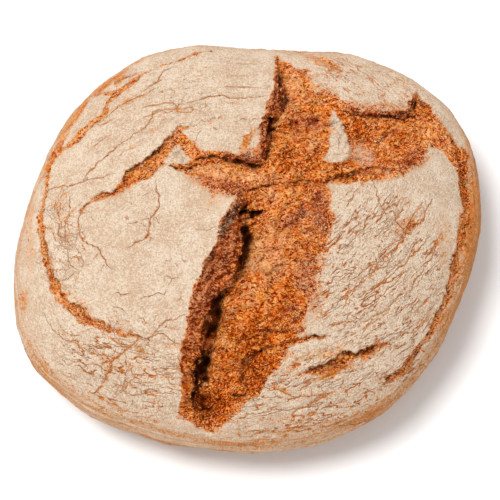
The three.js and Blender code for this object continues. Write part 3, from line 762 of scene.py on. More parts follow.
softness = EDGE_SOFTNESS + MORE_SOFTNESS * patches(SOFT_EDGE_PATCHES, place_on_sheet)
into_ragged = into + softness * rough(points, *EDGE_BUMPS)
bare = smoothstep(into_ragged, -softness, softness) * surface.seen
on_flap = np.maximum(surface.brown_edge, surface.on_flap_side * bare)
flour_here = patches(FLOUR_PATCHES, place_on_sheet)
for outline in FLOUR_SCRAPS:
    scrap = smoothstep(depth_into(outline, place_on_sheet), *SCRAP_FRINGE)
    flour_here = np.maximum(flour_here, scrap)
flour_here *= surface.seen
baked_here = patches(BAKED_PATCHES, place_on_sheet) * surface.seen
scorched_here = patches(SCORCHED_PATCHES, place_on_sheet) * surface.seen
bare_here = patches(BARE_PATCHES, place_on_sheet) * surface.seen

crumb = np.clip(np.maximum(bare * (1 - on_flap), surface.inside_crack), 0, 1)
sunken = smoothstep(into, -TEAR_MARGIN, TEAR_BANK) * surface.seen * (1 - on_flap)
torn = np.clip(1.6 * sunken + 0.8 * surface.inside_crack + 0.9 * on_flap + 0.4 * crumb, 0, 1)

# The torn crumb: strands and lumps, drawn out towards the back right, over crags and ledges.
strand_way = np.array((math.cos(STRAND_TURN), math.sin(STRAND_TURN), 0))
swirled = shift(points, *SWIRL)
drawn_out = swirled - STRETCH * (swirled @ strand_way)[:, None] * strand_way
crags = rough(drawn_out, *CRAGS)
ledges = np.abs(rough(drawn_out, LEDGES))
lumps = np.array([noise.voronoi(Vector(p))[0][0] for p in drawn_out / LUMP_LENGTH])
strands = rough(drawn_out, *STRANDS)
peaks = np.clip(strands - 1.1 * (lumps - 0.45), -1, 1)

# The skin: wrinkles that run round an arc, with puffed skin between them. A crease lies wherever
# the folds' noise crosses zero, and the noise over its slope is the distance to that crease.


def folds(points):
    places = on_sheet(points)
    is_back = places[:, 1] > np.interp(places[:, 0], *np.array(BACK_LINE).T)
    across = np.linalg.norm(places - np.where(is_back[:, None], *ARC_MIDDLES), axis=1)
    drawn_out = np.column_stack((points[:, :2] / FOLD_LENGTH, across / FOLD_SPACING))
    return bumps(drawn_out, 1) + 0.12 * bumps(points, 4.5, 1.1), across


fold_here, across = folds(points)
sideways = unit(np.cross(surface.normal, ASKEW))
slopes = [(folds(points + FOLD_PROBE * way)[0] - fold_here) / FOLD_PROBE
          for way in (sideways, np.cross(surface.normal, sideways))]
to_crease = fold_here / np.maximum(np.hypot(*slopes), 0.04)
wrinkled = patches(WRINKLED_PATCHES, place_on_sheet) * surface.seen
wrinkled *= smoothstep(bumps(points, 19, 6.2), -0.3, 0.3)
creases = np.exp(-((to_crease / CREASE_BREADTH) ** 2)) * wrinkled
puffs = np.tanh(np.abs(to_crease) / PUFF_BREADTH) * wrinkled
blisters = rough(points, *BLISTERS)
in_hair = np.exp(-((surface.to_hair / (0.35 * surface.hair_width + 0.35)) ** 2))
beside_hair = np.exp(-np.abs(surface.to_hair) / 2.5)

on_skin = blisters + PUFF_HEIGHT * puffs - CREASE_DEPTH * creases
height = 1.6 * bumps(points, 34, 0.4) + on_skin * (1 - torn)
height += surface.lip * (1 - 0.5 * sunken)
height -= TEAR_DEPTH * np.maximum(sunken, surface.bank)
height += (crags - ledges) * sunken + 1.3 * peaks * torn
# The flap's edge shows the layers of the dough, which run along it.
along_edge = np.column_stack((points[:, :2] / 14, np.clip(surface.beyond_lip, -9, 20) / 1.3))
layers = bumps(along_edge, 1, 8.1)
height += (1.1 * layers + 0.7 * bumps(points, 2.2, 8.1)) * on_flap
uneven = rough(points, *UNEVENNESS, level=0.8)
groove = surface.groove * np.clip(uneven, 0.25, 1.25)
height -= groove
height += HAIR_RIM * beside_hair - HAIR_DEPTH * in_hair
height += SCRAP_HEIGHT * flour_here * bare

# It is raised square to the crust on the steep sides, and towards the eye on the top.
turning = smoothstep(surface.facing, 0.3, 0.7)[:, None]
way = unit(surface.normal * (1 - turning) + surface.to_eye * turning)
fade = smoothstep(points[:, 2], 0, FOOT_HEIGHT)
finished = points + way * (height * fade)[:, None]
finished[:, 2] = np.maximum(finished[:, 2], 0)

# The finished crust fits the box of its solid, a hair's breadth inside it.
box_low, box_high = (np.array(corner) / MM for corner in cad_box)
low, high = finished.min(0), finished.max(0)
finished = box_low + (finished - low) * (box_high - box_low - 2 * BOX_GAP) / (high - low)
finished[:, :2] += BOX_GAP

for vertex, place in zip(dough.verts, finished * MM):
    vertex.co = place
bmesh.ops.recalc_face_normals(dough, faces=dough.faces[:])
for face in dough.faces:
    face.smooth = True


def new_object(name, shape):
    """The finished bmesh as an object of the scene."""
    mesh = bpy.data.meshes.new(name)
    shape.to_mesh(mesh)
    shape.free()
    made = bpy.data.objects.new(name, mesh)
    bpy.context.scene.collection.objects.link(made)
    return made


loaf = new_object("rye_loaf", dough)

# What the crust's material needs to know, at every vertex. The steep sides lost part of their
# flour, most on the right, and the foot of the loaf baked brown on the oven floor.
BAKED_FOOT = (1, 9)  # the foot is brown up to about here
RIM_BARENESS = ((-180, 0.36), (-140, 0.38), (-115, 0.45), (-90, 0.43), (-60, 0.42), (-35, 0.5),
                (-12, 0.8), (0, 0.88), (30, 0.84), (60, 0.6), (85, 0.6), (120, 0.55), (150, 0.45),
                (180, 0.36))

azimuth = np.degrees(np.arctan2(points[:, 1], points[:, 0]))
steepness = 1 - smoothstep(surface.normal[:, 2], 0.2, 0.75)
rim_bareness = np.interp(azimuth, *np.array(RIM_BARENESS).T) * steepness
foot = 1 - smoothstep(points[:, 2], *BAKED_FOOT)
flour = (1 - bare) * (1 - 0.97 * on_flap) * (1 - surface.inside_crack)
flour *= (1 - bare_here) * (1 - rim_bareness) * (1 - 0.45 * foot)
flour = np.maximum(flour * (1 - 0.9 * baked_here), flour_here)
front_of_flap = np.interp(place_on_sheet[:, 1], (-70, -20), (0.5, 1))
baked = np.maximum(on_flap * (1 - 0.75 * surface.torn_rim) * front_of_flap, baked_here)
pale_crumb = patches(PALE_CRUMB_PATCHES, place_on_sheet)
deep_crumb = patches(DEEP_CRUMB_PATCHES, place_on_sheet)
in_shallow_crack = surface.inside_crack * (1 - smoothstep(groove, 2, 4)) * (1 - bare)
ticked = patches(TICKED_PATCHES, place_on_sheet) * surface.seen
marks = {
    "flour": flour,
    "crumb": np.maximum(crumb * (1 - 0.4 * in_shallow_crack), 0.9 * surface.torn_rim * on_flap),
    "baked": np.clip(np.maximum(baked, 0.8 * foot), 0, 1),
    "scorched": np.maximum(scorched_here, 0.42 * on_flap * (1 - surface.torn_rim) * front_of_flap),
    "crumb_tone": 0.5 + 0.5 * pale_crumb - 0.5 * deep_crumb + 0.3 * in_shallow_crack,
    # Peaks paint the crumb lighter on the relief's tops and darker in its hollows, and the flap's
    # layers likewise: painted light and shade.
    "peaks": 0.5 + 0.5 * peaks + (0.8 * layers - 0.15) * on_flap,
    # The groove mark serves only painted shade: deep gaps and the crumb under the lips are painted
    # dark.
    "groove": np.clip(np.maximum(groove / 10, surface.painted_shade_under_lip * np.clip(uneven, 0.3, 1)), 0, 1),
    "hair": np.clip(1 - np.abs(surface.to_hair) / 3, 0, 1),
    "to_hair": np.clip(surface.to_hair / np.maximum(surface.hair_width, 0.2), -5, 5),
    "to_crease": to_crease,
    "wrinkled": wrinkled,
    "webbed": patches(WEBBED_PATCHES, place_on_sheet) * surface.seen,
    "ticked": np.maximum(ticked, 0.4 * (1 - surface.seen)),
    "across": across * MM,
    "steepness": steepness,
}


def mark_vertices(piece, times, **values):
    """Attributes of a piece's vertices, where each value goes to that many vertices in turn."""
    for name, each in values.items():
        attribute = piece.data.attributes.new(name, "FLOAT", "POINT")
        attribute.data.foreach_set("value", np.repeat(each, times).astype(np.float32))


mark_vertices(loaf, 1, **marks)

# ---------------------------------------------------------------------------------------------
# The crust's material: a brown skin under rye flour, cracked and rubbed bare in places, and bare
# crumb where it tore. The crumb is a group of nodes, because the small pieces are made of it too.


def add(tree, kind, inputs=(), **settings):
    """A node with its settings and inputs, each a value or the socket that feeds it."""
    made = tree.nodes.new(kind)
    for name, value in settings.items():
        setattr(made, name, value)
    for socket, value in dict(inputs).items():
        if isinstance(value, bpy.types.NodeSocket):
            tree.links.new(value, made.inputs[socket])
        else:
            made.inputs[socket].default_value = value
    return made


def calc(tree, operation, *values):
    return add(tree, "ShaderNodeMath", enumerate(values), operation=operation).outputs[0]


def total(tree, *terms):
    """The sum of sockets, each with its weight."""
    result = 0.0
    for socket, weight in terms:
        result = calc(tree, "MULTIPLY_ADD", socket, weight, result)
    return result


def ramp(tree, value, low, high, start=0.0, end=1.0):
    inputs = {"Value": value, "From Min": low, "From Max": high, "To Min": start, "To Max": end}
    return add(tree, "ShaderNodeMapRange", inputs, interpolation_type="SMOOTHSTEP").outputs[0]


def blend(tree, share, one, other):
    inputs = {0: share, 6: one, 7: other}
    return add(tree, "ShaderNodeMix", inputs, data_type="RGBA").outputs[2]


def speckle(tree, place, size, detail=2.0, roughness=0.5):
    """Noise about 0, from -0.5 to 0.5, whose spots are about that many metres across."""
    inputs = {"Vector": place, "Scale": 1 / size, "Detail": detail, "Roughness": roughness}
    spots = add(tree, "ShaderNodeTexNoise", inputs).outputs[0]
    return calc(tree, "SUBTRACT", spots, 0.5)


def warped(tree, place, length, size, detail):
    """The place, moved by up to that size in swirls of that length."""
    swirl = add(tree, "ShaderNodeTexNoise", {"Vector": place, "Scale": 1 / length, "Detail": detail})
    move = add(tree, "ShaderNodeVectorMath", {0: swirl.outputs["Color"], 3: size}, operation="SCALE")
    return add(tree, "ShaderNodeVectorMath", {0: move.outputs[0], 1: place}).outputs[0]


def squeezed(tree, place, turn, squeeze):
    """The place, turned about the vertical and squeezed, so that a pattern on it is drawn out."""
    inputs = {"Vector": place, "Rotation": (0, 0, turn), "Scale": squeeze}
    return add(tree, "ShaderNodeMapping", inputs).outputs[0]


def srgb(red, green, blue):
    """A colour from its screen values, 0 to 255, as Blender's linear one."""
    shares = [value / 255 for value in (red, green, blue)]
    return (*(s / 12.92 if s < 0.04045 else ((s + 0.055) / 1.055) ** 2.4 for s in shares), 1)


def new_group(name, inputs, outputs):
    """An empty node group, the sockets that give its inputs and those that take its outputs."""
    group = bpy.data.node_groups.new(name, "ShaderNodeTree")
    for way, sockets in (("INPUT", inputs), ("OUTPUT", outputs)):
        for socket, kind in sockets.items():
            group.interface.new_socket(socket, in_out=way, socket_type=kind)
    given = group.nodes.new("NodeGroupInput").outputs
    return group, given, group.nodes.new("NodeGroupOutput").inputs


def new_material(name):
    """A material, its node tree and its shader."""
    made = bpy.data.materials.new(name)
    made.use_nodes = True
    return made, made.node_tree, made.node_tree.nodes["Principled BSDF"]


FLOAT, VECTOR, COLOR = "NodeSocketFloat", "NodeSocketVector", "NodeSocketColor"

# Torn crumb: moist rye crumb drawn out in strands, painted pale on its peaks (painted highlight)
# and dark in its pits (painted shade), over tones that differ at random. Where it was bare in the
# oven it baked to a red-brown skin, and its most lifted edges scorched.
MOIST_TONES = (srgb(132, 38, 0), srgb(238, 110, 8), srgb(255, 180, 92))
DRY_TONES = (srgb(134, 44, 2), srgb(230, 112, 35), srgb(255, 194, 136))
BAKED_TONES = (srgb(98, 27, 0), srgb(174, 74, 18), srgb(232, 150, 98))
SCORCHED_TONES = (srgb(58, 28, 14), srgb(114, 68, 42), srgb(176, 132, 100))


# Each set of tones is one colour in a pit, in the middle and on a peak: shaded and lit copies of it.
def three_tones(tree, light, tones):
    pit, middle, peak = tones
    low = blend(tree, ramp(tree, light, -0.5, 0.05), pit, middle)
    return blend(tree, ramp(tree, light, 0.0, 0.55), low, peak)


torn_crumb, given, gives = new_group(
    "torn_crumb",
    {"Place": VECTOR, "Peaks": FLOAT, "Tone": FLOAT, "Baked": FLOAT, "Scorched": FLOAT},
    {"Color": COLOR, "Height": FLOAT},
)
tree = torn_crumb
swirled = warped(tree, given["Place"], 7 * MM, 9 * MM, 2.0)
drawn_place = squeezed(tree, swirled, -STRAND_TURN, (0.4, 1, 1))
strands = speckle(tree, drawn_place, 1.3 * MM, detail=4, roughness=0.7)
strokes = speckle(tree, drawn_place, 0.75 * MM, detail=1, roughness=0.8)
stroked = speckle(tree, given["Place"], 6 * MM, detail=2)
stroked = ramp(tree, total(tree, (stroked, 1.0), (given["Tone"], -0.1)), -0.17, 0.07, 0.55, 1.4)
strokes = calc(tree, "MULTIPLY", strokes, stroked)
grit = speckle(tree, given["Place"], 0.8 * MM, detail=1, roughness=0.8)
cloud = speckle(tree, given["Place"], 8 * MM, detail=3, roughness=0.6)
peak = calc(tree, "SUBTRACT", given["Peaks"], 0.5)
tone = calc(tree, "SUBTRACT", given["Tone"], 0.5)
unevenly = speckle(tree, given["Place"], 7 * MM, detail=2, roughness=0.6)
coarse = calc(tree, "MULTIPLY", strands, ramp(tree, unevenly, -0.15, 0.15, 0.8, 2.8))
fibres = speckle(tree, drawn_place, 2.6 * MM, detail=2, roughness=0.6)
fibres = ramp(tree, calc(tree, "ABSOLUTE", fibres), 0.0, 0.06, 1, 0)
pits = speckle(tree, given["Place"], 1.9 * MM, detail=2, roughness=0.6)
pits = ramp(tree, pits, 0.1, 0.22)
# The light mixes painted light and shade, from the relief's peaks, strands and pits, with random tone.
light = total(tree, (peak, 0.8), (coarse, 0.9), (strokes, 3.0), (grit, 1.5), (cloud, 1.1),
              (tone, 0.8), (fibres, 0.4), (pits, -0.6))
dryness = speckle(tree, given["Place"], 5 * MM, detail=4, roughness=0.7)
dryness = total(tree, (dryness, 1.0), (strands, 0.3), (tone, 0.25))
baked = total(tree, (given["Baked"], 1.0), (grit, 1.2), (strands, 1.2))
scorched = total(tree, (given["Scorched"], 1.0), (grit, 1.2), (strands, 1.0))
color = three_tones(tree, light, MOIST_TONES)
for how_much, low, high, tones in ((dryness, -0.1, 0.18, DRY_TONES), (baked, 0.3, 0.8, BAKED_TONES),
                                   (scorched, 0.35, 0.75, SCORCHED_TONES)):
    color = blend(tree, ramp(tree, how_much, low, high), color, three_tones(tree, light, tones))
tree.links.new(color, gives["Color"])
crumb_relief = total(tree, (strands, 1.0), (strokes, 0.6), (grit, 0.2), (fibres, 0.25), (pits, -0.6))
tree.links.new(crumb_relief, gives["Height"])

# Flour: rye meal that clung to the wet dough, thick and pale, or thin and tan over the skin.
FLOUR_THICK = srgb(229, 210, 187)
FLOUR_DULL = srgb(201, 167, 137)
FLOUR_THIN = srgb(222, 168, 124)

flour_dust, given, gives = new_group(
    "flour_dust",
    {"Place": VECTOR, "Cover": FLOAT, "Coarse": FLOAT, "Under": COLOR},
    {"Color": COLOR, "Cover": FLOAT, "Height": FLOAT},
)
tree = flour_dust
fine = speckle(tree, given["Place"], 0.9 * MM, detail=2, roughness=0.8)
grit = speckle(tree, given["Place"], 1.9 * MM, detail=3, roughness=0.7)
cloud = speckle(tree, given["Place"], 13 * MM, detail=4, roughness=0.65)
# Where the flour ends it lies in single grains, so there the grain counts most.
spare = calc(tree, "SUBTRACT", 1.0, given["Cover"])
edge = calc(tree, "MULTIPLY", calc(tree, "MULTIPLY", given["Cover"], spare), 4.0)
edge = calc(tree, "MAXIMUM", edge, 0.0)
grain = total(tree, (fine, 1.8), (grit, 1.4))
stipple = calc(tree, "MULTIPLY", grain, edge)
amount = total(tree, (given["Cover"], 1.0), (grain, 0.45), (stipple, 1.0), (cloud, 0.5))
coarse = calc(tree, "MULTIPLY", given["Coarse"], fine)
dull = total(tree, (cloud, 0.9), (grit, 0.8), (fine, 1.5), (coarse, 1.3), (given["Coarse"], -0.07))
dull = ramp(tree, dull, -0.28, 0.28)
thick = blend(tree, dull, FLOUR_THICK, FLOUR_DULL)
thin = blend(tree, ramp(tree, amount, 0.2, 0.45, 0, 0.6), given["Under"], FLOUR_THIN)
tree.links.new(blend(tree, ramp(tree, amount, 0.42, 0.72), thin, thick), gives["Color"])
tree.links.new(ramp(tree, amount, 0.2, 0.6), gives["Cover"])
tree.links.new(total(tree, (fine, 1.0), (grit, 0.7)), gives["Height"])

# The whole crust: its skin, its cracks, and painted shade in its gaps.
SKIN_BROWN = srgb(218, 110, 28)
SKIN_TAN = srgb(246, 168, 86)
SIDE_TAN = srgb(214, 144, 80)
CRACK_BROWN_AND_SHADE = srgb(148, 74, 30)
PAINTED_GAP_SHADE_BROWN = srgb(98, 42, 4)
PAINTED_GAP_SHADE_BLACK = srgb(32, 11, 2)


def read_marks(tree, names):
    """The socket of each of the marks that stand at the vertices."""
    return {name: add(tree, "ShaderNodeAttribute", attribute_name=name).outputs["Fac"]
            for name in names}


def crumb_at(tree, place, mark):
    """The torn crumb of a piece, lit and baked as its marks say."""
    inputs = {"Place": place, "Peaks": mark["peaks"], "Tone": mark["crumb_tone"],
              "Baked": mark["baked"], "Scorched": mark["scorched"]}
    return add(tree, "ShaderNodeGroup", inputs, node_tree=torn_crumb)


crust, tree, shader = new_material("floured_rye_crust")
place = add(tree, "ShaderNodeTexCoord").outputs["Object"]
mark = read_marks(tree, marks)

fine = speckle(tree, place, 0.8 * MM, detail=2, roughness=0.7)
grit = speckle(tree, place, 2.4 * MM, detail=3, roughness=0.65)
cloud = speckle(tree, place, 6 * MM, detail=2)
drawn = speckle(tree, squeezed(tree, place, 0, (0.07, 0.07, 1)), 3.0 * MM, detail=4, roughness=0.65)

crumb = crumb_at(tree, place, mark)
skin_light = total(tree, (grit, 1.0), (fine, 0.8), (drawn, 1.0))
skin_tone = blend(tree, ramp(tree, skin_light, -0.25, 0.25), SKIN_BROWN, SKIN_TAN)
skin_tone = blend(tree, ramp(tree, mark["steepness"], 0.2, 0.9, 0, 0.6), skin_tone, SIDE_TAN)
torn_share = calc(tree, "MAXIMUM", mark["crumb"], mark["baked"])
torn_share = ramp(tree, total(tree, (torn_share, 1.0), (grit, 0.6)), 0.25, 0.6)
bare_tone = blend(tree, torn_share, skin_tone, crumb.outputs["Color"])

# Fine cracks: ticks that follow the wrinkles, and a web that parts the skin into small plates.
tick_place = add(tree, "ShaderNodeCombineXYZ")
split = add(tree, "ShaderNodeSeparateXYZ", {0: place})
for socket, axis in enumerate(("X", "Y")):
    tree.links.new(calc(tree, "MULTIPLY", split.outputs[axis], 0.2), tick_place.inputs[socket])
wobble = speckle(tree, place, 5 * MM, detail=2, roughness=0.6)
tree.links.new(calc(tree, "MULTIPLY_ADD", wobble, 3 * MM, mark["across"]), tick_place.inputs[2])


def ticks(spacing, start):
    """Lines where a drawn-out noise crosses zero, here and there. Another start gives others."""
    moved = add(tree, "ShaderNodeVectorMath", {0: tick_place.outputs[0], 1: (start, 0, 0)})
    crossing = calc(tree, "ABSOLUTE", speckle(tree, moved.outputs[0], spacing, detail=1))
    where = ramp(tree, speckle(tree, moved.outputs[0], 1.6 * spacing, detail=2), 0.0, 0.08)
    return calc(tree, "MULTIPLY", ramp(tree, crossing, 0.008, 0.045, 1, 0), where)


web_place = warped(tree, place, 5 * MM, 3.5 * MM, 3.0)
cells = add(tree, "ShaderNodeTexVoronoi", {"Vector": web_place, "Scale": 1 / (7 * MM)},
            feature="DISTANCE_TO_EDGE").outputs["Distance"]
web_where = total(tree, (mark["webbed"], 1.0), (speckle(tree, place, 9 * MM, detail=2), 2.0))
web_where = total(tree, (web_where, 1.0), (speckle(tree, place, 3.5 * MM, detail=1), 2.0))
web = calc(tree, "MULTIPLY", ramp(tree, cells, 0.005, 0.04, 1, 0), ramp(tree, web_where, 0.7, 1.1))

fold = ramp(tree, calc(tree, "ABSOLUTE", mark["to_crease"]), 0.15, 0.75, 1, 0)
fold_here = total(tree, (mark["wrinkled"], 1.0), (grit, 1.2))
fold = calc(tree, "MULTIPLY", fold, ramp(tree, fold_here, 0.3, 0.8))
hair_line = total(tree, (calc(tree, "ABSOLUTE", mark["to_hair"]), 1.0), (fine, 0.8), (grit, 0.8))
hair_here = total(tree, (mark["hair"], 1.0), (speckle(tree, place, 5 * MM, detail=2), 1.5))
hair = calc(tree, "MULTIPLY", ramp(tree, hair_line, 0.1, 0.8, 1, 0), ramp(tree, hair_here, 0.25, 0.6))
ticking = ramp(tree, total(tree, (mark["ticked"], 1.0), (grit, 0.6)), 0.05, 0.7)
lines = calc(tree, "MAXIMUM", ticks(3.0 * MM, start=0.0), ticks(1.7 * MM, start=0.3))
lines = calc(tree, "MULTIPLY", lines, ticking)
dash_place = add(tree, "ShaderNodeVectorMath", {0: tick_place.outputs[0], 1: (2.2, 2.2, 1)},
                 operation="MULTIPLY")
dashes = ramp(tree, speckle(tree, dash_place.outputs[0], 0.9 * MM, detail=1), 0.08, 0.18)
dashed = ramp(tree, total(tree, (mark["ticked"], 0.8), (cloud, 3.5)), 0.2, 1.1)
dashes = calc(tree, "MULTIPLY", dashes, dashed)
for kind, strength in ((fold, 0.8), (web, 0.8), (hair, 0.9), (dashes, 0.9)):
    lines = calc(tree, "MAXIMUM", lines, calc(tree, "MULTIPLY", kind, strength))

# Flour clings in streaks to the steep sides, and in grains where the skin is cracked.
streaks = calc(tree, "MULTIPLY", mark["steepness"], drawn)
specks = calc(tree, "MULTIPLY", mark["ticked"], speckle(tree, place, 0.8 * MM, detail=1))
cover = total(tree, (mark["flour"], 1.0), (streaks, 2.2), (specks, 1.4), (lines, -0.7))
dust_inputs = {"Place": place, "Cover": cover, "Coarse": mark["ticked"], "Under": bare_tone}
dust = add(tree, "ShaderNodeGroup", dust_inputs, node_tree=flour_dust)
# The fine cracks and creases turn darker brown: partly the bare skin in them, partly painted shade.
cracked = ramp(tree, total(tree, (lines, 1.0), (fine, 0.8)), 0.55, 1, 0, 0.62)
tone = blend(tree, cracked, dust.outputs["Color"], CRACK_BROWN_AND_SHADE)
# Painted shade in the gaps: dark brown where the groove mark is middling, black where it is full.
tone = blend(tree, ramp(tree, mark["groove"], 0.2, 0.85), tone, PAINTED_GAP_SHADE_BROWN)
tone = blend(tree, ramp(tree, mark["groove"], 0.8, 1.2), tone, PAINTED_GAP_SHADE_BLACK)
tree.links.new(tone, shader.inputs["Base Color"])
tree.links.new(ramp(tree, dust.outputs["Cover"], 0, 1, 0.6, 0.95), shader.inputs["Roughness"])
shader.inputs["Specular IOR Level"].default_value = 0.06

# Baked crumb is smoother than moist crumb, and flour fills it in.
not_baked = ramp(tree, mark["baked"], 0.4, 1, 1, 0.6)
unfloured = ramp(tree, dust.outputs["Cover"], 0, 1, 1, 0)
craggy = calc(tree, "MULTIPLY", not_baked, unfloured)
crumb_height = calc(tree, "MULTIPLY", crumb.outputs["Height"], craggy)
relief = total(tree, (crumb_height, 1.6), (dust.outputs["Height"], 1.1), (lines, -0.55))
bump = add(tree, "ShaderNodeBump", {"Height": relief, "Strength": 1.0, "Distance": 1.0 * MM})
tree.links.new(bump.outputs[0], shader.inputs["Normal"])

loaf.data.materials.append(crust)
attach(loaf, "root")
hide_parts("loaf")

# ---------------------------------------------------------------------------------------------
# Shreds of crumb: where the dough tore, its strands curled up from the crumb and stand out of it.
# They are soft, and a millimetre or two long. The sizes of small pieces are half sizes, in
# millimetres.

SHRED_COUNT = 8000
SHRED_LENGTH = (0.35, 1.0)
SHRED_BREADTH = (0.14, 0.34)
LUMPINESS = 0.25

loaf_normals = np.empty(3 * len(loaf.data.vertices), dtype=np.float32)
loaf.data.vertices.foreach_get("normal", loaf_normals)
loaf_normals = loaf_normals.reshape(-1, 3)


def balls(count, subdivisions):
    """That many balls of radius 1 in one mesh, ball after ball, and the vertices of one."""
    made = bmesh.new()
    bmesh.ops.create_icosphere(made, subdivisions=subdivisions, radius=1)
    one = np.array([vertex.co for vertex in made.verts])
    in_one = [len(made.verts), len(made.edges), len(made.faces)]
    so_far = 1
    while so_far < count:
        more = min(so_far, count - so_far)
        copied = []
        for parts, each in zip((made.verts, made.edges, made.faces), in_one):
            parts.ensure_lookup_table()
            copied += parts[: more * each]
        bmesh.ops.duplicate(made, geom=copied)
        so_far += more
    return made, one


def strewn(name, draw, count, fitness, subdivisions, lengths, breadths, heading, spread, tilt, sunk,
           flatness=(0.6, 1)):
    """Rough little lumps at vertices of the loaf, drawn by their fitness, as one object.

    They point to the heading, give or take the spread, and slant by the tilt, all in radians, and
    lie sunk in by that share of their thickness. Returns the object, the vertices drawn, and the
    number of vertices in a lump.
    """
    chosen = draw.choice(len(fitness), count, replace=False, p=fitness / fitness.sum())
    made, one = balls(count, subdivisions)
    normals = unit(loaf_normals[chosen].astype(float))
    turns = draw.normal(heading, spread, count)
    ways = np.stack((np.cos(turns), np.sin(turns), np.zeros(count)), 1)
    ways = unit(ways - (ways * normals).sum(1)[:, None] * normals)
    lift = np.abs(draw.normal(0, tilt, count))[:, None]
    along = unit(ways * np.cos(lift) + normals * np.sin(lift))
    beside = np.cross(normals, ways)
    upward = np.cross(along, beside)
    long = draw.uniform(*lengths, count)[:, None]
    broad = draw.uniform(*breadths, count)[:, None]
    flat = broad * draw.uniform(*flatness, count)[:, None]
    centres = finished[chosen] + normals * (flat * (1 - 2 * sunk))
    shape = one[None] * (1 + LUMPINESS * draw.standard_normal((count, len(one), 1)))
    places = centres[:, None] + sum(
        shape[:, :, axis, None] * (size * way)[:, None]
        for axis, (size, way) in enumerate(((long, along), (broad, beside), (flat, upward))))
    for vertex, spot in zip(made.verts, places.reshape(-1, 3) * MM):
        vertex.co = spot
    for face in made.faces:
        face.smooth = True
    return new_object(name, made), chosen, len(one)


draw = np.random.default_rng(7)
fitness = marks["crumb"] * (1 - flour_here) * (groove < 6) * (surface.facing > 0.2)
shreds, chosen, per_shred = strewn(
    "crumb_shreds", draw, SHRED_COUNT, fitness, subdivisions=1, lengths=SHRED_LENGTH,
    breadths=SHRED_BREADTH, heading=STRAND_TURN, spread=0.9, tilt=0.35, sunk=0.6)
mark_vertices(
    shreds, per_shred,
    peaks=draw.uniform(0.1, 0.95, SHRED_COUNT),
    crumb_tone=marks["crumb_tone"][chosen],
    baked=marks["baked"][chosen],
    scorched=marks["scorched"][chosen],
)


def crumb_material(name, spot_size, roughness, bump_height):
    """Torn crumb for small pieces, whose shine varies in spots of that size."""
    made, tree, shader = new_material(name)
    place = add(tree, "ShaderNodeTexCoord").outputs["Object"]
    crumb = crumb_at(tree, place, read_marks(tree, ("peaks", "crumb_tone", "baked", "scorched")))
    tree.links.new(crumb.outputs["Color"], shader.inputs["Base Color"])
    bump = add(tree, "ShaderNodeBump", {"Height": crumb.outputs["Height"], "Distance": bump_height})
    tree.links.new(bump.outputs[0], shader.inputs["Normal"])
    shine = ramp(tree, speckle(tree, place, spot_size, detail=2), -0.2, 0.2, *roughness)
    tree.links.new(shine, shader.inputs["Roughness"])
    shader.inputs["Specular IOR Level"].default_value = 0.15
    return made


shred_crumb = crumb_material("shred_of_crumb", 0.8 * MM, roughness=(0.5, 0.8), bump_height=0.5 * MM)
shreds.data.materials.append(shred_crumb)
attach(shreds, "root")

# ---------------------------------------------------------------------------------------------
# Loose crumbs: soft bits that broke off where the dough tore. They are rounder than the shreds and
# lie caught on the ledges and in the gaps.

CRUMB_COUNT = 420
CRUMB_LENGTH = (0.4, 1.2)
CRUMB_BREADTH = (0.35, 0.8)
EDGE_ROOM = 3  # no crumb or flake lies nearer to the sides of the loaf's box

draw = np.random.default_rng(21)
room_left = np.minimum(finished - box_low, box_high - finished).min(1)
near_edge = np.exp(-np.abs(into) / 3)
fitness = marks["crumb"] * (0.3 + near_edge + smoothstep(groove, 0.5, 2)) * (surface.facing > 0.3)
fitness *= (groove < 5) * (room_left > EDGE_ROOM)
loose, chosen, per_crumb = strewn(
    "loose_crumbs", draw, CRUMB_COUNT, fitness, subdivisions=2, lengths=CRUMB_LENGTH,
    breadths=CRUMB_BREADTH, heading=STRAND_TURN, spread=2, tilt=0.3, sunk=0.4)
mark_vertices(
    loose, per_crumb,
    peaks=draw.uniform(0.3, 0.9, CRUMB_COUNT),
    crumb_tone=marks["crumb_tone"][chosen],
    baked=marks["baked"][chosen] * draw.uniform(0, 1, CRUMB_COUNT),
    scorched=np.zeros(CRUMB_COUNT),
)
loose_crumb = crumb_material("loose_crumb", 1.2 * MM, roughness=(0.6, 0.9), bump_height=0.8 * MM)
loose.data.materials.append(loose_crumb)
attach(loose, "root")

# ---------------------------------------------------------------------------------------------
# Flakes: thin chips of the brown crust that came loose as it split. They lie flat along the lips
# and the edges of the tear.

FLAKE_COUNT = 240
FLAKE_LENGTH = (0.6, 1.7)
FLAKE_BREADTH = (0.35, 0.9)

draw = np.random.default_rng(33)
along_lips = np.exp(-np.abs(surface.to_crack) / 0.8) * (surface.to_crack > -1)
fitness = (along_lips + 0.8 * np.exp(-np.abs(into) / 1.2)) * (surface.facing > 0.3)
fitness *= (groove < 3) * (room_left > EDGE_ROOM) * (1.02 - marks["flour"])
flakes, chosen, per_flake = strewn(
    "crust_flakes", draw, FLAKE_COUNT, fitness, subdivisions=2, lengths=FLAKE_LENGTH,
    breadths=FLAKE_BREADTH, heading=0, spread=3, tilt=0.45, sunk=0.2, flatness=(0.15, 0.3))
mark_vertices(
    flakes, per_flake,
    peaks=draw.uniform(0.2, 0.7, FLAKE_COUNT),
    crumb_tone=marks["crumb_tone"][chosen],
    baked=draw.uniform(0.5, 1, FLAKE_COUNT),
    scorched=draw.uniform(0, 0.3, FLAKE_COUNT),
)
flake_crust = crumb_material("flake_of_crust", 0.6 * MM, roughness=(0.45, 0.75), bump_height=0.3 * MM)
flakes.data.materials.append(flake_crust)
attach(flakes, "root")

# ---------------------------------------------------------------------------------------------
# Flour grains: coarse rye meal, dusted over the dough before it was baked. It lies loose on the
# floured plates and spills into the tear.

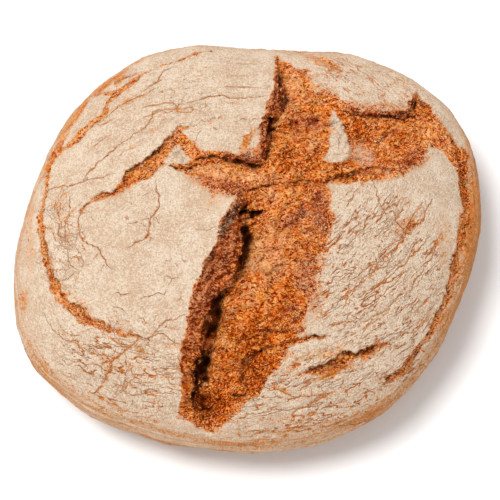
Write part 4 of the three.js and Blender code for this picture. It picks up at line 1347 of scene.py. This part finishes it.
GRAIN_COUNT = 8000
GRAIN_RADIUS = (0.1, 0.26)
GRAIN_ROOM = 1
GRAIN_WHITE = srgb(246, 226, 202)
GRAIN_TAN = srgb(222, 186, 152)

draw = np.random.default_rng(11)
near_tear = smoothstep(into, -10, -2) * (1 - smoothstep(into, 2, 12))
fitness = (0.35 + near_tear) * (0.25 + marks["flour"]) * (surface.facing > 0.3)
fitness *= room_left > GRAIN_ROOM
fitness *= (groove < 2) * np.where(into > -1, 0.5, 1) * (1 - 0.9 * on_flap)
grains, _, _ = strewn(
    "flour_grains", draw, GRAIN_COUNT, fitness, subdivisions=1, lengths=GRAIN_RADIUS,
    breadths=GRAIN_RADIUS, heading=0, spread=3, tilt=0.3, sunk=0.3)

grain_meal, tree, shader = new_material("grain_of_rye_meal")
place = add(tree, "ShaderNodeTexCoord").outputs["Object"]
spots = speckle(tree, place, 1.2 * MM, detail=2)
tone = blend(tree, ramp(tree, spots, -0.15, 0.15), GRAIN_TAN, GRAIN_WHITE)
tree.links.new(tone, shader.inputs["Base Color"])
grain_relief = speckle(tree, place, 0.2 * MM, detail=2)
bump = add(tree, "ShaderNodeBump", {"Height": grain_relief, "Distance": 0.1 * MM})
tree.links.new(bump.outputs[0], shader.inputs["Normal"])
tree.links.new(ramp(tree, spots, -0.2, 0.2, 0.85, 1), shader.inputs["Roughness"])
shader.inputs["Specular IOR Level"].default_value = 0.1
grains.data.materials.append(grain_meal)
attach(grains, "root")

# ---------------------------------------------------------------------------------------------
# The studio: a plain white table top, a large soft light from the left, and a bright white room.
# None of it belongs to the loaf.

TABLE_SIZE = 6
TABLE_DROP = 0.2 * MM  # so that the table's face and the loaf's bottom don't coincide
TABLE_WHITE = (0.9, 0.9, 0.9, 1)
TABLE_ROUGHNESS = 0.9
ROOM_WHITE = (1, 1, 1, 1)
ROOM_LIGHT = 0.7
LAMP_LIGHT = 2.4
LAMP_SPREAD = math.radians(22)
LAMP_WAY = Vector((-0.38, 0.08, 1))  # from the loaf to the lamp

table = bmesh.new()
bmesh.ops.create_grid(table, x_segments=1, y_segments=1, size=TABLE_SIZE / 2)
bmesh.ops.translate(table, vec=(0, 0, -TABLE_DROP), verts=table.verts)
table_top = new_object("table_top", table)
table_white, tree, shader = new_material("table_white")
shader.inputs["Base Color"].default_value = TABLE_WHITE
shader.inputs["Roughness"].default_value = TABLE_ROUGHNESS
table_top.data.materials.append(table_white)

room = bpy.data.worlds.new("room")
room.use_nodes = True
background = room.node_tree.nodes["Background"]
background.inputs["Color"].default_value = ROOM_WHITE
background.inputs["Strength"].default_value = ROOM_LIGHT
bpy.context.scene.world = room

lamp_data = bpy.data.lights.new("soft_box", "SUN")
lamp_data.energy = LAMP_LIGHT
lamp_data.angle = LAMP_SPREAD
lamp = bpy.data.objects.new("soft_box", lamp_data)
lamp.rotation_euler = LAMP_WAY.to_track_quat("Z", "Y").to_euler()
bpy.context.scene.collection.objects.link(lamp)

bpy.context.scene.view_settings.view_transform = "Standard"
